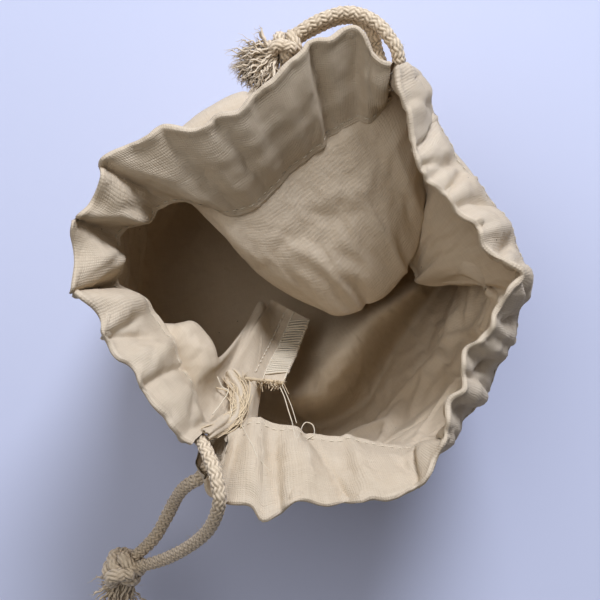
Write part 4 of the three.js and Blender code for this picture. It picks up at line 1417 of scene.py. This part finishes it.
def loose(points, radius, lift_=0.4):
    """A loose thread: it keeps its own heights and never goes through the cloth."""
    p = spline(points, 0.5)
    z = np.array([max(q[2], top_of(q[0], q[1]) + lift_) if top_of(q[0], q[1]) - q[2] < 14 else q[2] for q in p])
    for _ in range(3):
        z = np.maximum(z, np.convolve(np.pad(z, 1, mode="edge"), [0.25, 0.5, 0.25], "valid"))
    p[:, 2] = np.convolve(np.pad(z, 1, mode="edge"), [0.25, 0.5, 0.25], "valid")
    return tube_data(p, radius, 6)


tubes = [
    loose([(-41.1, 10.3, 88), (-43.2, 7.6, 88), (-43.5, 5.4, 88), (-47.5, 5.6, 89), (-51.9, 6.4, 91)], 0.2),
    loose([(-48.0, 2.0, 89), (-50.0, 0.3, 90), (-51.0, -2.9, 90), (-53.7, -8.3, 92), (-55.5, -10.6, 93), (-57.2, -14.0, 95), (-58.3, -17.0, 96)], 0.18),
    loose([(-36.6, -8.6, 70), (-38.4, -11.0, 73), (-41.4, -14.0, 77), (-44.6, -17.4, 82), (-46.6, -19.4, 86), (-44.6, -19.8, 83), (-42.2, -20.4, 80),
           (-41.8, -22.6, 80), (-43.4, -24.0, 84), (-45.8, -22.6, 86.5), (-47.0, -20.6, 87.5)], 0.18),
    loose([(-35.6, -8.8, 69), (-37.6, -11.4, 71), (-40.2, -14.6, 75), (-43.6, -18.0, 80)], 0.14),
]
o = join_tubes("loose_threads_b", tubes, M_THREAD)
finish_piece(o, [], "sack_upper")


# ----------------------------------------------------------------------------------------------
# room: plain floor, soft light, camera over the mouth
# ----------------------------------------------------------------------------------------------
sc = bpy.context.scene
floor_me = bpy.data.meshes.new("floor")
floor_me.from_pydata([(-1.5, -1.5, 0), (1.5, -1.5, 0), (1.5, 1.5, 0), (-1.5, 1.5, 0)], [], [(0, 1, 2, 3)])
floor = bpy.data.objects.new("floor", floor_me)
sc.collection.objects.link(floor)
floor.location.z = -0.0004
nf = Nodes("floor_paper")
pf = nf.new("ShaderNodeBsdfPrincipled", Base_Color=srgb(206, 208, 222), Roughness=0.85)
pf.inputs["Specular IOR Level"].default_value = 0.1
nf.t.links.new(pf.outputs[0], nf.out.inputs["Surface"])
floor.data.materials.append(nf.m)


def area(name, loc, target, size, power, color=(1, 1, 1)):
    d = bpy.data.lights.new(name, "AREA")
    d.shape = "DISK"
    d.size = size
    d.energy = power
    d.color = color
    o = bpy.data.objects.new(name, d)
    sc.collection.objects.link(o)
    o.location = loc
    dirv = np.array(target) - np.array(loc)
    o.rotation_euler = Vector(dirv).to_track_quat("-Z", "Y").to_euler()
    return o


# picture right is (0.447, -0.894), picture up is (0.894, 0.447)
def on_plane(right, up_, z):
    return (0.447 * right + 0.894 * up_, -0.894 * right + 0.447 * up_, z)


key = area("window", on_plane(0.20, 0.776, 0.73), (0, 0, 0.06), 0.42, 9.8, (0.84, 0.91, 1.10))
fill = area("fill", on_plane(-0.36, 0.22, 1.12), (0, 0, 0.05), 0.8, 4.3, (0.90, 0.93, 1.02))
world = bpy.data.worlds.new("room")
sc.world = world
world.use_nodes = True
bg = world.node_tree.nodes["Background"]
bg.inputs[0].default_value = (0.80, 0.80, 0.86, 1)
bg.inputs[1].default_value = 0.17

cam_d = bpy.data.cameras.new("camera")
cam_d.lens = 82.8
cam_d.sensor_width = 36
cam = bpy.data.objects.new("camera", cam_d)
sc.collection.objects.link(cam)
R = Matrix(((0.447, 0.894, 0), (-0.894, 0.447, 0), (0, 0, 1)))   # columns: right, up, back
R = R.to_4x4()
R.translation = (-0.0088, -0.0018, 0.510)
cam.matrix_world = R
sc.camera = cam
sc.view_settings.view_transform = "Standard"
sc.view_settings.look = "Medium High Contrast"
